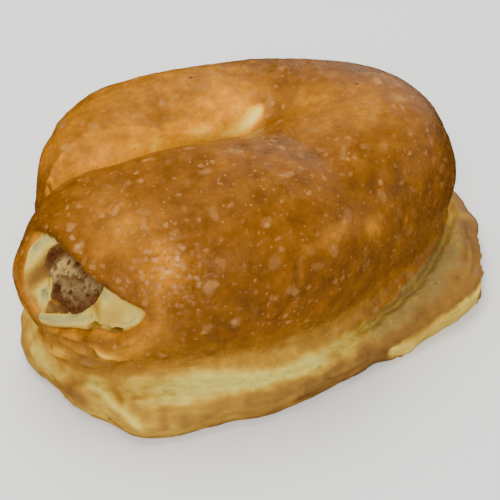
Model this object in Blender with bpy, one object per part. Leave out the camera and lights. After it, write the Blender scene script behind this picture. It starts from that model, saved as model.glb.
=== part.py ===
"""Walnut crescent roll.

A glazed sweet-dough roll bent into a tight horseshoe. Two arms lie side by side and
touch, the bend joins them, and the whole loaf stands on a flared foot of laid-over
pastry. A walnut core runs through the roll, from the open end of the front arm,
round the bend, to the open end of the back arm.

+X runs along the arms towards the bend, +Y goes from the front arm to the back arm,
and +Z is up. The origin is under the middle of the loaf, on the surface it rests on.
Dimensions at the top are millimetres, and the finished meshes are metres.
"""
import math

import bmesh
import bpy
import numpy as np
from mathutils import Matrix, Vector

MM = 0.001

# --- Driving dimensions of the loaf -----------------------------------------
# Stations on the roll's centre line, from the front arm's open end, round the bend,
# to the back arm's open end: x, y, half width of the roll, height of its top.
STATIONS = (
    (-27.9, -14.2, 23.6, 42.4),
    (-6.2, -16.3, 23.9, 45.3),
    (9.8, -10.0, 22.1, 42.7),
    (29.0, 5.2, 20.8, 44.7),
    (10.7, 19.9, 19.6, 41.9),
    (-19.7, 18.9, 18.4, 42.4),
    (-27.0, 9.8, 18.9, 42.2),
)
STEPS_PER_STATION = 8
HUB = (12.0, 3.0)            # inside the bend; every section ring is drawn round it
CROWN_POWER = 2.4            # 2 gives a round crown, more gives a fuller shoulder
BULGE_HEIGHT = 21.4          # widest level of the roll
CREASE_HEIGHT = 28.0         # floor of the crease between the two arms
CREASE_RISE = 6.0            # run from the outline in to that floor
CREASE_EASE = 4.0            # softness of the crease's floor
CREASE_END = 18.0            # where along X the crease has run out into the bend
CREASE_RUN_OUT = 14.0        # length over which it does so
WAIST_HEIGHT = 11.9          # level of the waist under the roll
WAIST_DEPTH = 2.1
RIM_HEIGHT = 3.8             # level of the foot's outer rim
RIM_TUCK = 1.0               # how far the foot turns in below its rim
# How far the foot spreads past the roll, by direction round the hub in degrees.
FOOT_SPREAD = ((0, 7.8), (45, 8.2), (90, 8.3), (140, 3.7), (180, 4.4), (192, 3.4),
               (205, 1.4), (216, 2.6), (229, 6.6), (243, 4.6), (266, 3.9), (279, 5.6),
               (296, 11.2), (322, 14.6), (343, 9.6), (360, 7.8))
# Places where the dough is pulled out of its even round form: the middle of the
# pulled patch, its radius, and the pull.
PULLS = (
    ((-50.0, -17.0, 26.0), 10.0, (-2.4, -0.4, 0.0)),     # lip at the front arm's end
    ((-36.0, -42.0, 2.0), 12.0, (-1.0, -1.2, 0.0)),      # corner of the foot
    ((49.5, -2.4, 21.0), 13.0, (2.3, -0.3, 0.0)),        # belly of the bend
)

# --- The walnut core and the open ends ---------------------------------------
CORE_RADIUS = 7.5            # half width of the core's oval section
CORE_FLATTEN = 0.8           # its height over its width
CORE_HEIGHT = 28.0           # level of the core's centre line
CORE_GAP = 0.3               # between the core and the dough round it
CORE_RECESS = 2.0            # the core ends this far inside the roll's end
CORE_OVERRUN = 12.0          # and its tunnel is cut this far past it
CORE_TURN_IN = 6.0           # it starts to turn into the arm this far inside
CORE_END_SHARE = 0.7         # share of its radius left at its rounded-off ends
FRONT_MOUTH_FACING = 225.0   # direction each open end faces, degrees from +X
BACK_MOUTH_FACING = 145.0
MOUTH_RADII = (6.0, 16.5, 8.0)   # oval hollow of an open end: depth, half width, half height

# --- Facets -------------------------------------------------------------------
SECTORS = 112                # points round a section ring
CROWN_RINGS = 22
CROWN_CROWDING = 1.6         # above 1, the rings lie closer toward the steep outer side
FIRST_RING = 0.05            # size of the ring next to the crown's middle point
UNDERCUT_RINGS = 3           # from the widest line in to the waist
FLARE_RINGS = 3              # from the waist out to the rim
EDGE_RINGS = 2               # from the rim down to the resting face
CORE_SIDES = 16
HOLLOW_SEGMENTS = 24
FARTHEST = 90.0              # no part of the loaf is farther than this from the hub
SEARCH_STEPS = 240           # steps taken from the hub in looking for the outline
WELD = 0.00001               # metres; joins a tube's loose end caps


def smooth_step(t):
    """Ease from 0 to 1 with level ends."""
    t = np.clip(t, 0.0, 1.0)
    return t * t * (3.0 - 2.0 * t)


def centre_line():
    """A smooth curve through the stations: rows of x, y, half width and height."""
    rows = np.array(STATIONS)
    first = 2.0 * rows[0] - rows[1]
    last = 2.0 * rows[-1] - rows[-2]
    rows = np.vstack([first, rows, last])
    t = np.linspace(0.0, 1.0, STEPS_PER_STATION, endpoint=False)[:, None]
    line = []
    for i in range(1, len(rows) - 2):
        a, b, c, d = rows[i - 1:i + 3]
        line.append(0.5 * (2 * b + (c - a) * t + (2 * a - 5 * b + 4 * c - d) * t ** 2
                           + (3 * b - a - 3 * c + d) * t ** 3))
    line.append(rows[-2][None])
    return np.vstack(line)


LINE = centre_line()


def distances(x, y):
    """Distance from each plan point to every point of the centre line."""
    return np.hypot(x[..., None] - LINE[:, 0], y[..., None] - LINE[:, 1])


def reach(angles, offset):
    """How far a ray from the hub goes before it leaves the roll's outline, grown by
    the offset. The outline is the edge of all the round sections laid in a row."""
    steps = np.linspace(0.5, FARTHEST, SEARCH_STEPS)
    x = HUB[0] + steps * np.cos(angles)[:, None]
    y = HUB[1] + steps * np.sin(angles)[:, None]
    edge = (distances(x, y) - LINE[:, 2]).min(axis=-1)
    inside = edge < offset[:, None]
    last = len(steps) - 1 - np.argmax(inside[:, ::-1], axis=1)
    last = np.minimum(last, len(steps) - 2)
    rows = np.arange(len(angles))
    here = edge[rows, last]
    beyond = edge[rows, last + 1]
    part = np.clip((offset - here) / (beyond - here), 0.0, 1.0)
    return steps[last] + part * (steps[1] - steps[0])


def crown_height(x, y):
    """Level of the roll's upper side: the highest of the round sections there. Each
    arm is raised by itself, and the crease between the two is eased and floored."""
    away = distances(x, y)
    across = np.clip(away / LINE[:, 2], 0.0, 1.0)
    arch = (1.0 - across ** CROWN_POWER) ** (1.0 / CROWN_POWER)
    level = BULGE_HEIGHT + (LINE[:, 3] - BULGE_HEIGHT) * arch
    floor = CREASE_HEIGHT * np.clip((LINE[:, 2] - away).max(axis=-1) / CREASE_RISE, 0.0, 1.0)
    middle = len(LINE) // 2
    front = np.maximum(level[..., :middle + 1].max(axis=-1), floor)
    back = np.maximum(level[..., middle:].max(axis=-1), floor)
    ease = CREASE_EASE * smooth_step((CREASE_END - x) / CREASE_RUN_OUT)
    closeness = np.clip(1.0 - np.abs(front - back) / np.maximum(ease, 0.001), 0.0, 1.0)
    return np.maximum(front, back) + 0.25 * ease * closeness ** 2


def foot_spread(angles):
    """The foot's spread at each angle, eased from one named direction to the next."""
    turn = np.degrees(angles) % 360.0
    marks = np.array([mark for mark, spread in FOOT_SPREAD], dtype=float)
    spreads = np.array([spread for mark, spread in FOOT_SPREAD])
    k = np.clip(np.searchsorted(marks, turn, side="right") - 1, 0, len(marks) - 2)
    part = smooth_step((turn - marks[k]) / (marks[k + 1] - marks[k]))
    return spreads[k] + (spreads[k + 1] - spreads[k]) * part


def skirt_profile(angles):
    """Offset and level of each ring below the widest line: in to the waist, out to
    the rim of the foot, then down and slightly in to the resting face."""
    spread = foot_spread(angles)
    profile = []
    for t in np.linspace(0.0, 1.0, UNDERCUT_RINGS + 1)[1:]:
        offset = np.full(len(angles), -WAIST_DEPTH * smooth_step(t))
        profile.append((offset, BULGE_HEIGHT + (WAIST_HEIGHT - BULGE_HEIGHT) * t))
    for t in np.linspace(0.0, 1.0, FLARE_RINGS + 1)[1:]:
        offset = -WAIST_DEPTH + (spread + WAIST_DEPTH) * smooth_step(t)
        profile.append((offset, WAIST_HEIGHT + (RIM_HEIGHT - WAIST_HEIGHT) * t))
    for t in np.linspace(0.0, 1.0, EDGE_RINGS + 1)[1:]:
        profile.append((spread - RIM_TUCK * t * t, RIM_HEIGHT * (1.0 - t)))
    return profile


def pulled(ring):
    """The ring's points after the local pulls, which fade out from their middles."""
    pulled_ring = ring.copy()
    for middle, radius, pull in PULLS:
        away = np.linalg.norm(ring - np.array(middle), axis=1) / radius
        pulled_ring += np.exp(-away ** 2)[:, None] * np.array(pull)
    return pulled_ring


def loaf_rings():
    """Every section ring of the loaf, from the crown down to the resting face."""
    angles = np.linspace(0.0, 2.0 * math.pi, SECTORS, endpoint=False)
    outline = reach(angles, np.zeros(SECTORS))
    rings = []
    even = np.linspace(FIRST_RING, 1.0, CROWN_RINGS)
    for part in 1.0 - (1.0 - even) ** CROWN_CROWDING:
        x = HUB[0] + outline * part * np.cos(angles)
        y = HUB[1] + outline * part * np.sin(angles)
        level = crown_height(x, y) if part < 1.0 else np.full(SECTORS, BULGE_HEIGHT)
        rings.append(np.stack([x, y, level], axis=1))
    for offset, level in skirt_profile(angles):
        radius = reach(angles, offset)
        x = HUB[0] + radius * np.cos(angles)
        y = HUB[1] + radius * np.sin(angles)
        rings.append(np.stack([x, y, np.full(SECTORS, level)], axis=1))
    return [pulled(ring) for ring in rings]


def loft(rings, name):
    """Skin a stack of rings, closed by a point on the crown and a flat resting face."""
    mesh = bmesh.new()
    stack = []
    for ring in rings:
        stack.append([mesh.verts.new(point) for point in ring * MM])
    for upper, lower in zip(stack, stack[1:]):
        for i in range(SECTORS):
            j = (i + 1) % SECTORS
            mesh.faces.new((upper[i], lower[i], lower[j], upper[j]))
    hub_x, hub_y = HUB
    top_level = float(crown_height(np.array([hub_x]), np.array([hub_y]))[0])
    top = mesh.verts.new(Vector((hub_x, hub_y, top_level)) * MM)
    bottom = mesh.verts.new(Vector((hub_x, hub_y, 0.0)) * MM)
    for i in range(SECTORS):
        j = (i + 1) % SECTORS
        mesh.faces.new((top, stack[0][i], stack[0][j]))
        mesh.faces.new((bottom, stack[-1][j], stack[-1][i]))
    data = bpy.data.meshes.new(name)
    mesh.to_mesh(data)
    mesh.free()
    return data


def facing(degrees):
    """Unit vector in plan for a compass direction measured from +X."""
    turn = math.radians(degrees)
    return Vector((math.cos(turn), math.sin(turn), 0.0))


def end_point(station, degrees):
    """Where the roll's rounded end meets the core's level, in the given direction."""
    x, y, half_width, height = station
    rise = (CORE_HEIGHT - BULGE_HEIGHT) / (height - BULGE_HEIGHT)
    shrink = (1.0 - rise ** CROWN_POWER) ** (1.0 / CROWN_POWER)
    return Vector((x, y, CORE_HEIGHT)) + facing(degrees) * half_width * shrink


def turn_in(end, facing_degrees, corner, onward):
    """Points that lead from just inside an open end round a soft corner into the arm."""
    start = end - facing(facing_degrees) * CORE_TURN_IN
    points = []
    for t in (0.0, 0.25, 0.5, 0.75):
        points.append(start.lerp(corner, t).lerp(corner.lerp(onward, t), t))
    return points


def core_route(overrun):
    """Points along the core from mouth to mouth. A positive overrun carries both ends
    out past the roll, and a negative one stops them inside it."""
    middle = [Vector((x, y, CORE_HEIGHT)) for x, y in LINE[:, :2]]
    skip = STEPS_PER_STATION - 2
    front = end_point(STATIONS[0], FRONT_MOUTH_FACING)
    back = end_point(STATIONS[-1], BACK_MOUTH_FACING)
    front_run = turn_in(front, FRONT_MOUTH_FACING, middle[0], middle[skip])
    back_run = turn_in(back, BACK_MOUTH_FACING, middle[-1], middle[-1 - skip])
    front_end = front + facing(FRONT_MOUTH_FACING) * overrun
    back_end = back + facing(BACK_MOUTH_FACING) * overrun
    return [front_end] + front_run + middle[skip:-skip] + back_run[::-1] + [back_end]


def oval_tube(name, route, radius, end_share):
    """A tube of oval section along a route, as a closed mesh. The end radius is the
    share of the full radius that its first and last points take."""
    curve = bpy.data.curves.new(name, "CURVE")
    curve.dimensions = "3D"
    curve.bevel_depth = radius * MM
    curve.bevel_resolution = CORE_SIDES // 4 - 1
    curve.use_fill_caps = True
    spline = curve.splines.new("POLY")
    spline.points.add(len(route) - 1)
    for point, place in zip(spline.points, route):
        point.co = (place.x * MM, place.y * MM, 0.0, 1.0)
    spline.points[0].radius = end_share
    spline.points[-1].radius = end_share
    guide = bpy.data.objects.new(name + "_guide", curve)
    bpy.context.scene.collection.objects.link(guide)
    evaluated = guide.evaluated_get(bpy.context.evaluated_depsgraph_get())
    data = bpy.data.meshes.new_from_object(evaluated)
    bpy.data.objects.remove(guide)
    mesh = bmesh.new()
    mesh.from_mesh(data)
    bmesh.ops.remove_doubles(mesh, verts=mesh.verts, dist=WELD)
    squash = Matrix.Diagonal((1.0, 1.0, CORE_FLATTEN, 1.0))
    lift = Matrix.Translation((0.0, 0.0, CORE_HEIGHT * MM))
    bmesh.ops.transform(mesh, matrix=lift @ squash, verts=mesh.verts)
    mesh.to_mesh(data)
    mesh.free()
    data.name = name
    return data


def oval_hollow(name, place, degrees):
    """The hollow of an open end, as an oval ball set into the roll's end."""
    depth, half_width, half_height = MOUTH_RADII
    mesh = bmesh.new()
    bmesh.ops.create_uvsphere(mesh, u_segments=HOLLOW_SEGMENTS,
                              v_segments=HOLLOW_SEGMENTS // 2, radius=1.0)
    size = Matrix.Diagonal((depth * MM, half_width * MM, half_height * MM, 1.0))
    turn = Matrix.Rotation(math.radians(degrees), 4, "Z")
    bmesh.ops.transform(mesh, matrix=Matrix.Translation(place * MM) @ turn @ size,
                        verts=mesh.verts)
    data = bpy.data.meshes.new(name)
    mesh.to_mesh(data)
    mesh.free()
    return data


def baked_material(name, colour, roughness):
    """A plain Principled material with the part's own colour."""
    material = bpy.data.materials.new(name)
    material.use_nodes = True
    shader = material.node_tree.nodes["Principled BSDF"]
    shader.inputs["Base Color"].default_value = colour
    shader.inputs["Roughness"].default_value = roughness
    shader.inputs["Metallic"].default_value = 0.0
    return material


def add_object(name, data, collection, shift):
    """Put a mesh in a collection, moved so that the loaf's middle is at the origin."""
    data.transform(Matrix.Translation(shift))
    thing = bpy.data.objects.new(name, data)
    collection.objects.link(thing)
    return thing


def add_cut(dough, cutter):
    """Cut one shape out of the dough and keep the cutter as a wire guide."""
    cutter.hide_render = True
    cutter.display_type = "WIRE"
    cut = dough.modifiers.new(cutter.name, "BOOLEAN")
    cut.operation = "DIFFERENCE"
    cut.solver = "EXACT"
    cut.object = cutter


def build():
    for thing in list(bpy.data.objects):
        bpy.data.objects.remove(thing)
    model = bpy.data.collections.new("walnut_crescent_roll")
    cutters = bpy.data.collections.new("cutters")
    bpy.context.scene.collection.children.link(model)
    bpy.context.scene.collection.children.link(cutters)

    rings = loaf_rings()
    foot = np.vstack(rings)[:, :2]
    middle = (foot.min(axis=0) + foot.max(axis=0)) / 2.0
    shift = Vector((-middle[0], -middle[1], 0.0)) * MM

    dough = add_object("roll_dough", loft(rings, "roll_dough"), model, shift)
    dough.data.materials.append(baked_material("glazed_crust", (0.50, 0.21, 0.045, 1.0), 0.35))
    dough.data.shade_smooth()

    tunnel_mesh = oval_tube("core_tunnel", core_route(CORE_OVERRUN),
                            CORE_RADIUS + CORE_GAP, 1.0)
    add_cut(dough, add_object("core_tunnel", tunnel_mesh, cutters, shift))
    for side, station, degrees in (("front", STATIONS[0], FRONT_MOUTH_FACING),
                                   ("back", STATIONS[-1], BACK_MOUTH_FACING)):
        name = side + "_mouth_hollow"
        hollow = oval_hollow(name, end_point(station, degrees), degrees)
        add_cut(dough, add_object(name, hollow, cutters, shift))

    core_mesh = oval_tube("walnut_filling", core_route(-CORE_RECESS),
                          CORE_RADIUS, CORE_END_SHARE)
    core = add_object("walnut_filling", core_mesh, model, shift)
    core.data.materials.append(baked_material("walnut_paste", (0.36, 0.21, 0.09, 1.0), 0.8))
    core.data.shade_smooth()


build()
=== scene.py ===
# %% [markdown]
# # A walnut crescent roll, baked in Blender
#
# This notebook models one bakery roll: a rope of sweet dough with a walnut core, bent into
# a tight horseshoe, set on a flared foot of laid-over pastry, brushed with egg and baked
# until the crown is a glossy golden brown. We work the way a baker would look at it: first
# the loaf, then the folds and the torn open end, then the filling that shows there, and
# last the crust, which does most of the talking.
#
# Every cell makes one thing, says why it is made that way, and prints what it made.

# %% Load the frame
import math
import random
import bmesh
import bpy
import numpy as np
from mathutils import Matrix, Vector, kdtree, noise


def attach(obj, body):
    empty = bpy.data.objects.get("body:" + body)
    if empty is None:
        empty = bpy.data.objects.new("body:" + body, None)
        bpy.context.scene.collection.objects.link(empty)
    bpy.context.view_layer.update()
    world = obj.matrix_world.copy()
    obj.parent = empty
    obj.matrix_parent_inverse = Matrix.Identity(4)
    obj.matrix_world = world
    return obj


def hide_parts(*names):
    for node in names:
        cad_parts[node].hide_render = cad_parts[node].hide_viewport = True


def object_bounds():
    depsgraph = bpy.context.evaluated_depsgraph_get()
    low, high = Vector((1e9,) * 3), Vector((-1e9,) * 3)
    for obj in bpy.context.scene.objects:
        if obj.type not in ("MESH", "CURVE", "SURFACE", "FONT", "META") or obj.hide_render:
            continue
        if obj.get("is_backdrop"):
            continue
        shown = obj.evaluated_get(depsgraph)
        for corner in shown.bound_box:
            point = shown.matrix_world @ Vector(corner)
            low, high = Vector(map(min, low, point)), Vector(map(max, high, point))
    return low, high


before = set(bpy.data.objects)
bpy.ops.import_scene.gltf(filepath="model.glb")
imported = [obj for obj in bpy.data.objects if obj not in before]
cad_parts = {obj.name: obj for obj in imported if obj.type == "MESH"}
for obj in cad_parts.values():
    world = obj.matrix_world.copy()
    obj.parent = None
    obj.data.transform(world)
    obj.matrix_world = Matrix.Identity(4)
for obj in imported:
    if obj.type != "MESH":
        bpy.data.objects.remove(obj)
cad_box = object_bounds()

MM = 0.001
cad_size = [round((high - low) / MM, 1) for low, high in zip(*cad_box)]
print("the frame holds", sorted(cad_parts), "and is", cad_size, "mm in size")

# %% [markdown]
# ## Where we look from
#
# A picture is judged from one place first, so the camera comes before the food. The roll is
# seen from in front and to the left, from about forty degrees above the table, close enough
# for the near end to look larger than the far one. A lens length and a distance are all that
# Blender needs: the sensor stays at its usual 36 mm.

# %% The camera
VIEW_TURN = -15.56           # degrees round the roll, from straight in front
VIEW_RISE = 41.04            # degrees above the table
VIEW_DISTANCE = 294.0        # millimetres, as every length below
VIEW_TARGET = (-3.1, -13.4, 18.5)
LENS = 95.3


def look_direction(turn, rise):
    """Unit vector from the target to the camera."""
    a, e = math.radians(turn), math.radians(rise)
    return Vector((math.sin(a) * math.cos(e), -math.cos(a) * math.cos(e), math.sin(e)))


def add_camera():
    """A camera on the view's direction, looking back at the target."""
    back = look_direction(VIEW_TURN, VIEW_RISE)
    camera = bpy.data.objects.new("table_camera", bpy.data.cameras.new("table_camera"))
    camera.data.lens = LENS
    camera.location = (Vector(VIEW_TARGET) + back * VIEW_DISTANCE) * MM
    camera.rotation_euler = back.to_track_quat("Z", "Y").to_euler()
    camera.data.clip_start = 0.01
    bpy.context.scene.collection.objects.link(camera)
    bpy.context.scene.camera = camera
    return camera


camera = add_camera()
print("the camera stands at", [round(c / MM) for c in camera.location], "mm")

# %% [markdown]
# ## The measures of the loaf
#
# The roll is a soft tube, so we describe it as a baker would with a rope of dough: where its
# middle runs, how wide it is and how high it has risen, at seven stations from one open end
# round the bend to the other. Everything else follows from these rows and a few heights.

# %% Sizes of the loaf
# x, y, half width and height of the top, in millimetres
STATIONS = (
    (-27.9, -14.2, 23.6, 42.4),
    (-6.2, -16.3, 23.9, 45.3),
    (9.8, -10.0, 22.1, 42.7),
    (29.0, 5.2, 20.8, 44.7),
    (10.7, 19.9, 19.6, 41.9),
    (-19.7, 18.9, 18.4, 42.4),
    (-27.0, 9.8, 18.9, 42.2),
)
STEPS_PER_STATION = 16
HUB = (12.0, 3.0)            # inside the bend: every strand of the mesh starts there
CROWN_POWER = 2.4            # 2 gives a round crown, more gives a fuller shoulder
BULGE_HEIGHT = 21.4          # widest level of the roll
CREASE_HEIGHT = 28.0         # floor of the crease between the two arms
CREASE_RISE = 6.0
CREASE_EASE = 1.0
CREASE_CUT = 8.0             # how far the crease runs down between the arms
CREASE_SPREAD = (3.0, 8.0)   # narrow on the front arm's side, wide on the back one's
CREASE_LOWEST = 29.0
CREASE_START, CREASE_GROWTH = 6.0, 10.0      # x where the cut begins, and how far it takes to deepen
CREASE_CLEAR, CREASE_BANK = 2.0, 6.0         # it needs both arms this far above the bulge
CREASE_END, CREASE_RUN_OUT = 18.0, 14.0      # x where the easing ends, and how far it takes to fade
WAIST_HEIGHT = 11.9
WAIST_DEPTH = 2.1            # at the front arm's end; it is shallower elsewhere
WAIST_TUCK = ((0, 1.2), (60, 1.8), (120, 2.1), (252, 2.1), (285, 1.2), (310, 0.9), (340, 0.9), (360, 1.2))
RIM_TUCK = 1.0
# how far the foot spreads past the roll, by direction round the hub in degrees
FOOT_SPREAD = ((0, 7.8), (45, 8.2), (90, 8.3), (140, 3.7), (180, 4.0), (192, 2.8),
               (205, 0.5), (216, 2.0), (229, 6.6), (243, 4.6), (266, 3.9), (279, 5.6),
               (296, 11.2), (322, 14.6), (343, 9.6), (360, 7.8))
# level of the foot's outer rim: the pastry lies thicker at the bend
RIM_LEVEL = ((0, 5.6), (45, 4.6), (90, 4.0), (200, 4.0), (230, 3.8), (290, 3.8), (322, 5.4),
             (345, 6.2), (360, 5.6))
SHIFT = np.array([1.53, 1.38, 0.0])      # from the drawn sizes to the middle of the loaf's box
# middle, radius and pull of the places where the dough is drawn out of its round form
PULLS = (
    ((-50.0, -17.0, 26.0), 10.0, (-2.4, -0.4, 0.0)),     # lip at the front arm's end
    ((-36.0, -42.0, 2.0), 12.0, (-1.0, -1.2, 0.0)),      # corner of the foot
    ((49.5, -2.4, 21.0), 13.0, (2.3, -0.3, 0.0)),        # belly of the bend
)
print(len(STATIONS), "stations, and the crown rises to", max(row[3] for row in STATIONS), "mm")

# %% [markdown]
# ## A centre line for the dough
#
# A Catmull-Rom curve passes through every station and needs no handles, which suits measures
# taken from a real thing. We blend the width and the height along it with the same formula,
# so one small function gives the whole rope. Folds and torn edges further down reuse it.

# %% The centre line
def smooth_step(t):
    """Ease from 0 to 1 with level ends."""
    t = np.clip(t, 0.0, 1.0)
    return t * t * (3.0 - 2.0 * t)


def smooth_path(rows, steps, closed=False):
    """A Catmull-Rom curve through the rows, with the given steps between each two."""
    rows = np.asarray(rows, dtype=float)
    if closed:
        rows = np.vstack([rows[-1], rows, rows[:2]])
    else:
        rows = np.vstack([2.0 * rows[0] - rows[1], rows, 2.0 * rows[-1] - rows[-2]])
    t = np.linspace(0.0, 1.0, steps, endpoint=False)[:, None]
    path = []
    for i in range(1, len(rows) - 2):
        a, b, c, d = rows[i - 1:i + 3]
        path.append(0.5 * (2 * b + (c - a) * t + (2 * a - 5 * b + 4 * c - d) * t ** 2
                           + (3 * b - a - 3 * c + d) * t ** 3))
    path.append(rows[-2][None])
    return np.vstack(path)


LINE = smooth_path(STATIONS, STEPS_PER_STATION)
rope_length = np.linalg.norm(np.diff(LINE[:, :2], axis=0), axis=1).sum()
print("the rope's middle is", round(float(rope_length)), "mm long, in", len(LINE), "sections")

# %% [markdown]
# ## From a rope to a loaf
#
# If we swept a circle along that bend, the inside of the horseshoe would fold over itself.
# Proofing dough does not do that: the two arms swell until they meet and press together. So
# we ask another question instead. For any spot on the table, how high is the highest round
# section above it? The answer is a height, the arms merge by themselves, and the crease
# between them is where one arm stops being the higher one.
#
# The mesh is drawn as rings round a hub inside the bend, like the strands of a spider's web.
# More strands go where there is more to see, round the open ends and along the torn waist.

# %% The web of strands
SECTORS = 600
# direction seen from the hub, spread, extra crowding, and a power: 4 for a flat top, 2 for a soft one
BUSY_STRETCHES = (
    (209.0, 17.0, 2.6, 4),       # the front open end
    (162.0, 14.0, 1.0, 4),       # the back one
    (262.0, 55.0, 0.55, 2),      # the torn waist in front
)


def strand_turns():
    """Angles of the strands, closer together in the busy stretches."""
    turn = np.linspace(0.0, 360.0, 3601)
    crowding = np.ones(len(turn))
    for middle, spread, extra, power in BUSY_STRETCHES:
        crowding += extra * np.exp(-((turn - middle) / spread) ** power)
    share = np.concatenate([[0.0], np.cumsum(0.5 * (crowding[1:] + crowding[:-1]))])
    wanted = np.linspace(0.0, share[-1], SECTORS, endpoint=False)
    return np.radians(np.interp(wanted, share, turn))


TURNS = strand_turns()
COS, SIN = np.cos(TURNS), np.sin(TURNS)
print(SECTORS, "strands, the closest", round(float(np.degrees(np.diff(TURNS).min())), 2), "degrees apart")

# %% Where each strand leaves the roll
STRAND_REACH = np.linspace(0.5, 90.0, 420)       # places along a strand, from the hub outward


def distances(x, y):
    """Distance from each spot on the table to every point of the centre line."""
    return np.hypot(x[..., None] - LINE[:, 0], y[..., None] - LINE[:, 1])


def edge_table():
    """How far outside the roll's outline each point of each strand is."""
    x = HUB[0] + STRAND_REACH * COS[:, None]
    y = HUB[1] + STRAND_REACH * SIN[:, None]
    return (distances(x, y) - LINE[:, 2]).min(axis=-1)


EDGE = edge_table()


def reach(offset):
    """Length of each strand to where it leaves the outline grown by the offset."""
    offset = np.broadcast_to(offset, (SECTORS,))
    inside = EDGE < offset[:, None]
    last = len(STRAND_REACH) - 1 - np.argmax(inside[:, ::-1], axis=1)
    last = np.minimum(last, len(STRAND_REACH) - 2)
    rows = np.arange(SECTORS)
    here, beyond = EDGE[rows, last], EDGE[rows, last + 1]
    part = np.clip((offset - here) / (beyond - here), 0.0, 1.0)
    return STRAND_REACH[last] + part * (STRAND_REACH[1] - STRAND_REACH[0])


leaving = reach(0.0)
print("strands leave the roll", round(float(leaving.min())), "to", round(float(leaving.max())), "mm out")

# %% [markdown]
# ## The upper side
#
# Each strand climbs over the crown and down to the roll's widest line. We first take many
# points along it and then keep a few, spaced over the surface and not over the table, or the
# steep sides would starve. The keepers lie closest together on the flanks, because that is
# where the torn mouth, the blisters and the cracks are.

# %% The crown
CROWN_SAMPLES = 300
CROWN_RINGS = 104
FLANK_CROWDING = 1.45        # above 1, the rings lie closer toward the widest line
RIM_CROWDING = 2.2           # the same for the samples that the rings are picked from


def crown_height(x, y):
    """Level of the roll's upper side, with the crease between the arms eased."""
    away = distances(x, y)
    across = np.clip(away / LINE[:, 2], 0.0, 1.0)
    arch = (1.0 - across ** CROWN_POWER) ** (1.0 / CROWN_POWER)
    level = BULGE_HEIGHT + (LINE[:, 3] - BULGE_HEIGHT) * arch
    floor = CREASE_HEIGHT * np.clip((LINE[:, 2] - away).max(axis=-1) / CREASE_RISE, 0.0, 1.0)
    middle = len(LINE) // 2
    arms = level[..., :middle + 1].max(axis=-1), level[..., middle:].max(axis=-1)
    front, back = np.maximum(arms[0], floor), np.maximum(arms[1], floor)
    ease = CREASE_EASE * smooth_step((CREASE_END - x) / CREASE_RUN_OUT)
    closeness = np.clip(1.0 - np.abs(front - back) / np.maximum(ease, 0.001), 0.0, 1.0)
    spread = np.where(front > back, *CREASE_SPREAD)
    begun = smooth_step((CREASE_START - x) / CREASE_GROWTH)
    groove = CREASE_CUT * np.exp(-((front - back) / spread) ** 2) * begun
    groove = groove * smooth_step((np.minimum(*arms) - BULGE_HEIGHT - CREASE_CLEAR) / CREASE_BANK)
    top = np.maximum(front, back)
    return top + 0.25 * ease * closeness ** 2 - np.minimum(groove, np.maximum(top - CREASE_LOWEST, 0.0))


def spread_along(path, shares):
    """Points at the given shares of a path's length."""
    step = np.linalg.norm(np.diff(path, axis=0), axis=1)
    run = np.concatenate([[0.0], np.cumsum(step)])
    wanted = shares * run[-1]
    return np.stack([np.interp(wanted, run, path[:, k]) for k in range(3)], axis=1)


def crown_rings():
    """The upper side, from the hub to the widest line."""
    outline = reach(0.0)
    share = 1.0 - (1.0 - np.linspace(0.03, 1.0, CROWN_SAMPLES)) ** RIM_CROWDING
    radius = outline * share[:, None]
    x, y = HUB[0] + radius * COS, HUB[1] + radius * SIN
    level = crown_height(x, y)
    level[-1] = BULGE_HEIGHT
    dense = np.stack([x, y, level], axis=2)
    shares = 1.0 - (1.0 - np.linspace(0.0, 1.0, CROWN_RINGS)) ** FLANK_CROWDING
    strands = [spread_along(dense[:, j], shares) for j in range(SECTORS)]
    return np.stack(strands, axis=1)


crown = crown_rings()
print("crown:", crown.shape[0], "rings of", crown.shape[1], "points")

# %% [markdown]
# ## The waist and the foot
#
# Under its widest line the roll tucks in to a waist, and below that the pastry foot flares
# out again. One profile, drawn as an offset and a level, is carried round the whole loaf.
# Only its spread changes with direction, because the baker laid the foot over unevenly.

# %% The skirt under the roll
SKIRT_SAMPLES = 360
SKIRT_RINGS = 60
TUCK_PART, FLARE_PART = 0.35, 0.40       # shares of the profile; the edge has the rest


def by_direction(table, turn=None):
    """A value at each direction, eased from one named direction to the next."""
    turn = np.degrees(TURNS) if turn is None else turn
    marks = np.array([row[0] for row in table], dtype=float)
    values = np.array([row[1] for row in table], dtype=float)
    k = np.clip(np.searchsorted(marks, turn, side="right") - 1, 0, len(marks) - 2)
    part = smooth_step((turn - marks[k]) / (marks[k + 1] - marks[k]))
    return values[k] + (values[k + 1] - values[k]) * part


def skirt_offset(t, tuck, spread, rim):
    """Offset from the outline and level, at a share of the profile."""
    if t < TUCK_PART:
        s = t / TUCK_PART
        return -tuck * smooth_step(s), BULGE_HEIGHT + (WAIST_HEIGHT - BULGE_HEIGHT) * s
    if t < TUCK_PART + FLARE_PART:
        s = (t - TUCK_PART) / FLARE_PART
        return -tuck + (spread + tuck) * smooth_step(s), WAIST_HEIGHT + (rim - WAIST_HEIGHT) * s
    s = (t - TUCK_PART - FLARE_PART) / (1.0 - TUCK_PART - FLARE_PART)
    return spread - RIM_TUCK * s * s, rim * (1.0 - s)


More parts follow.
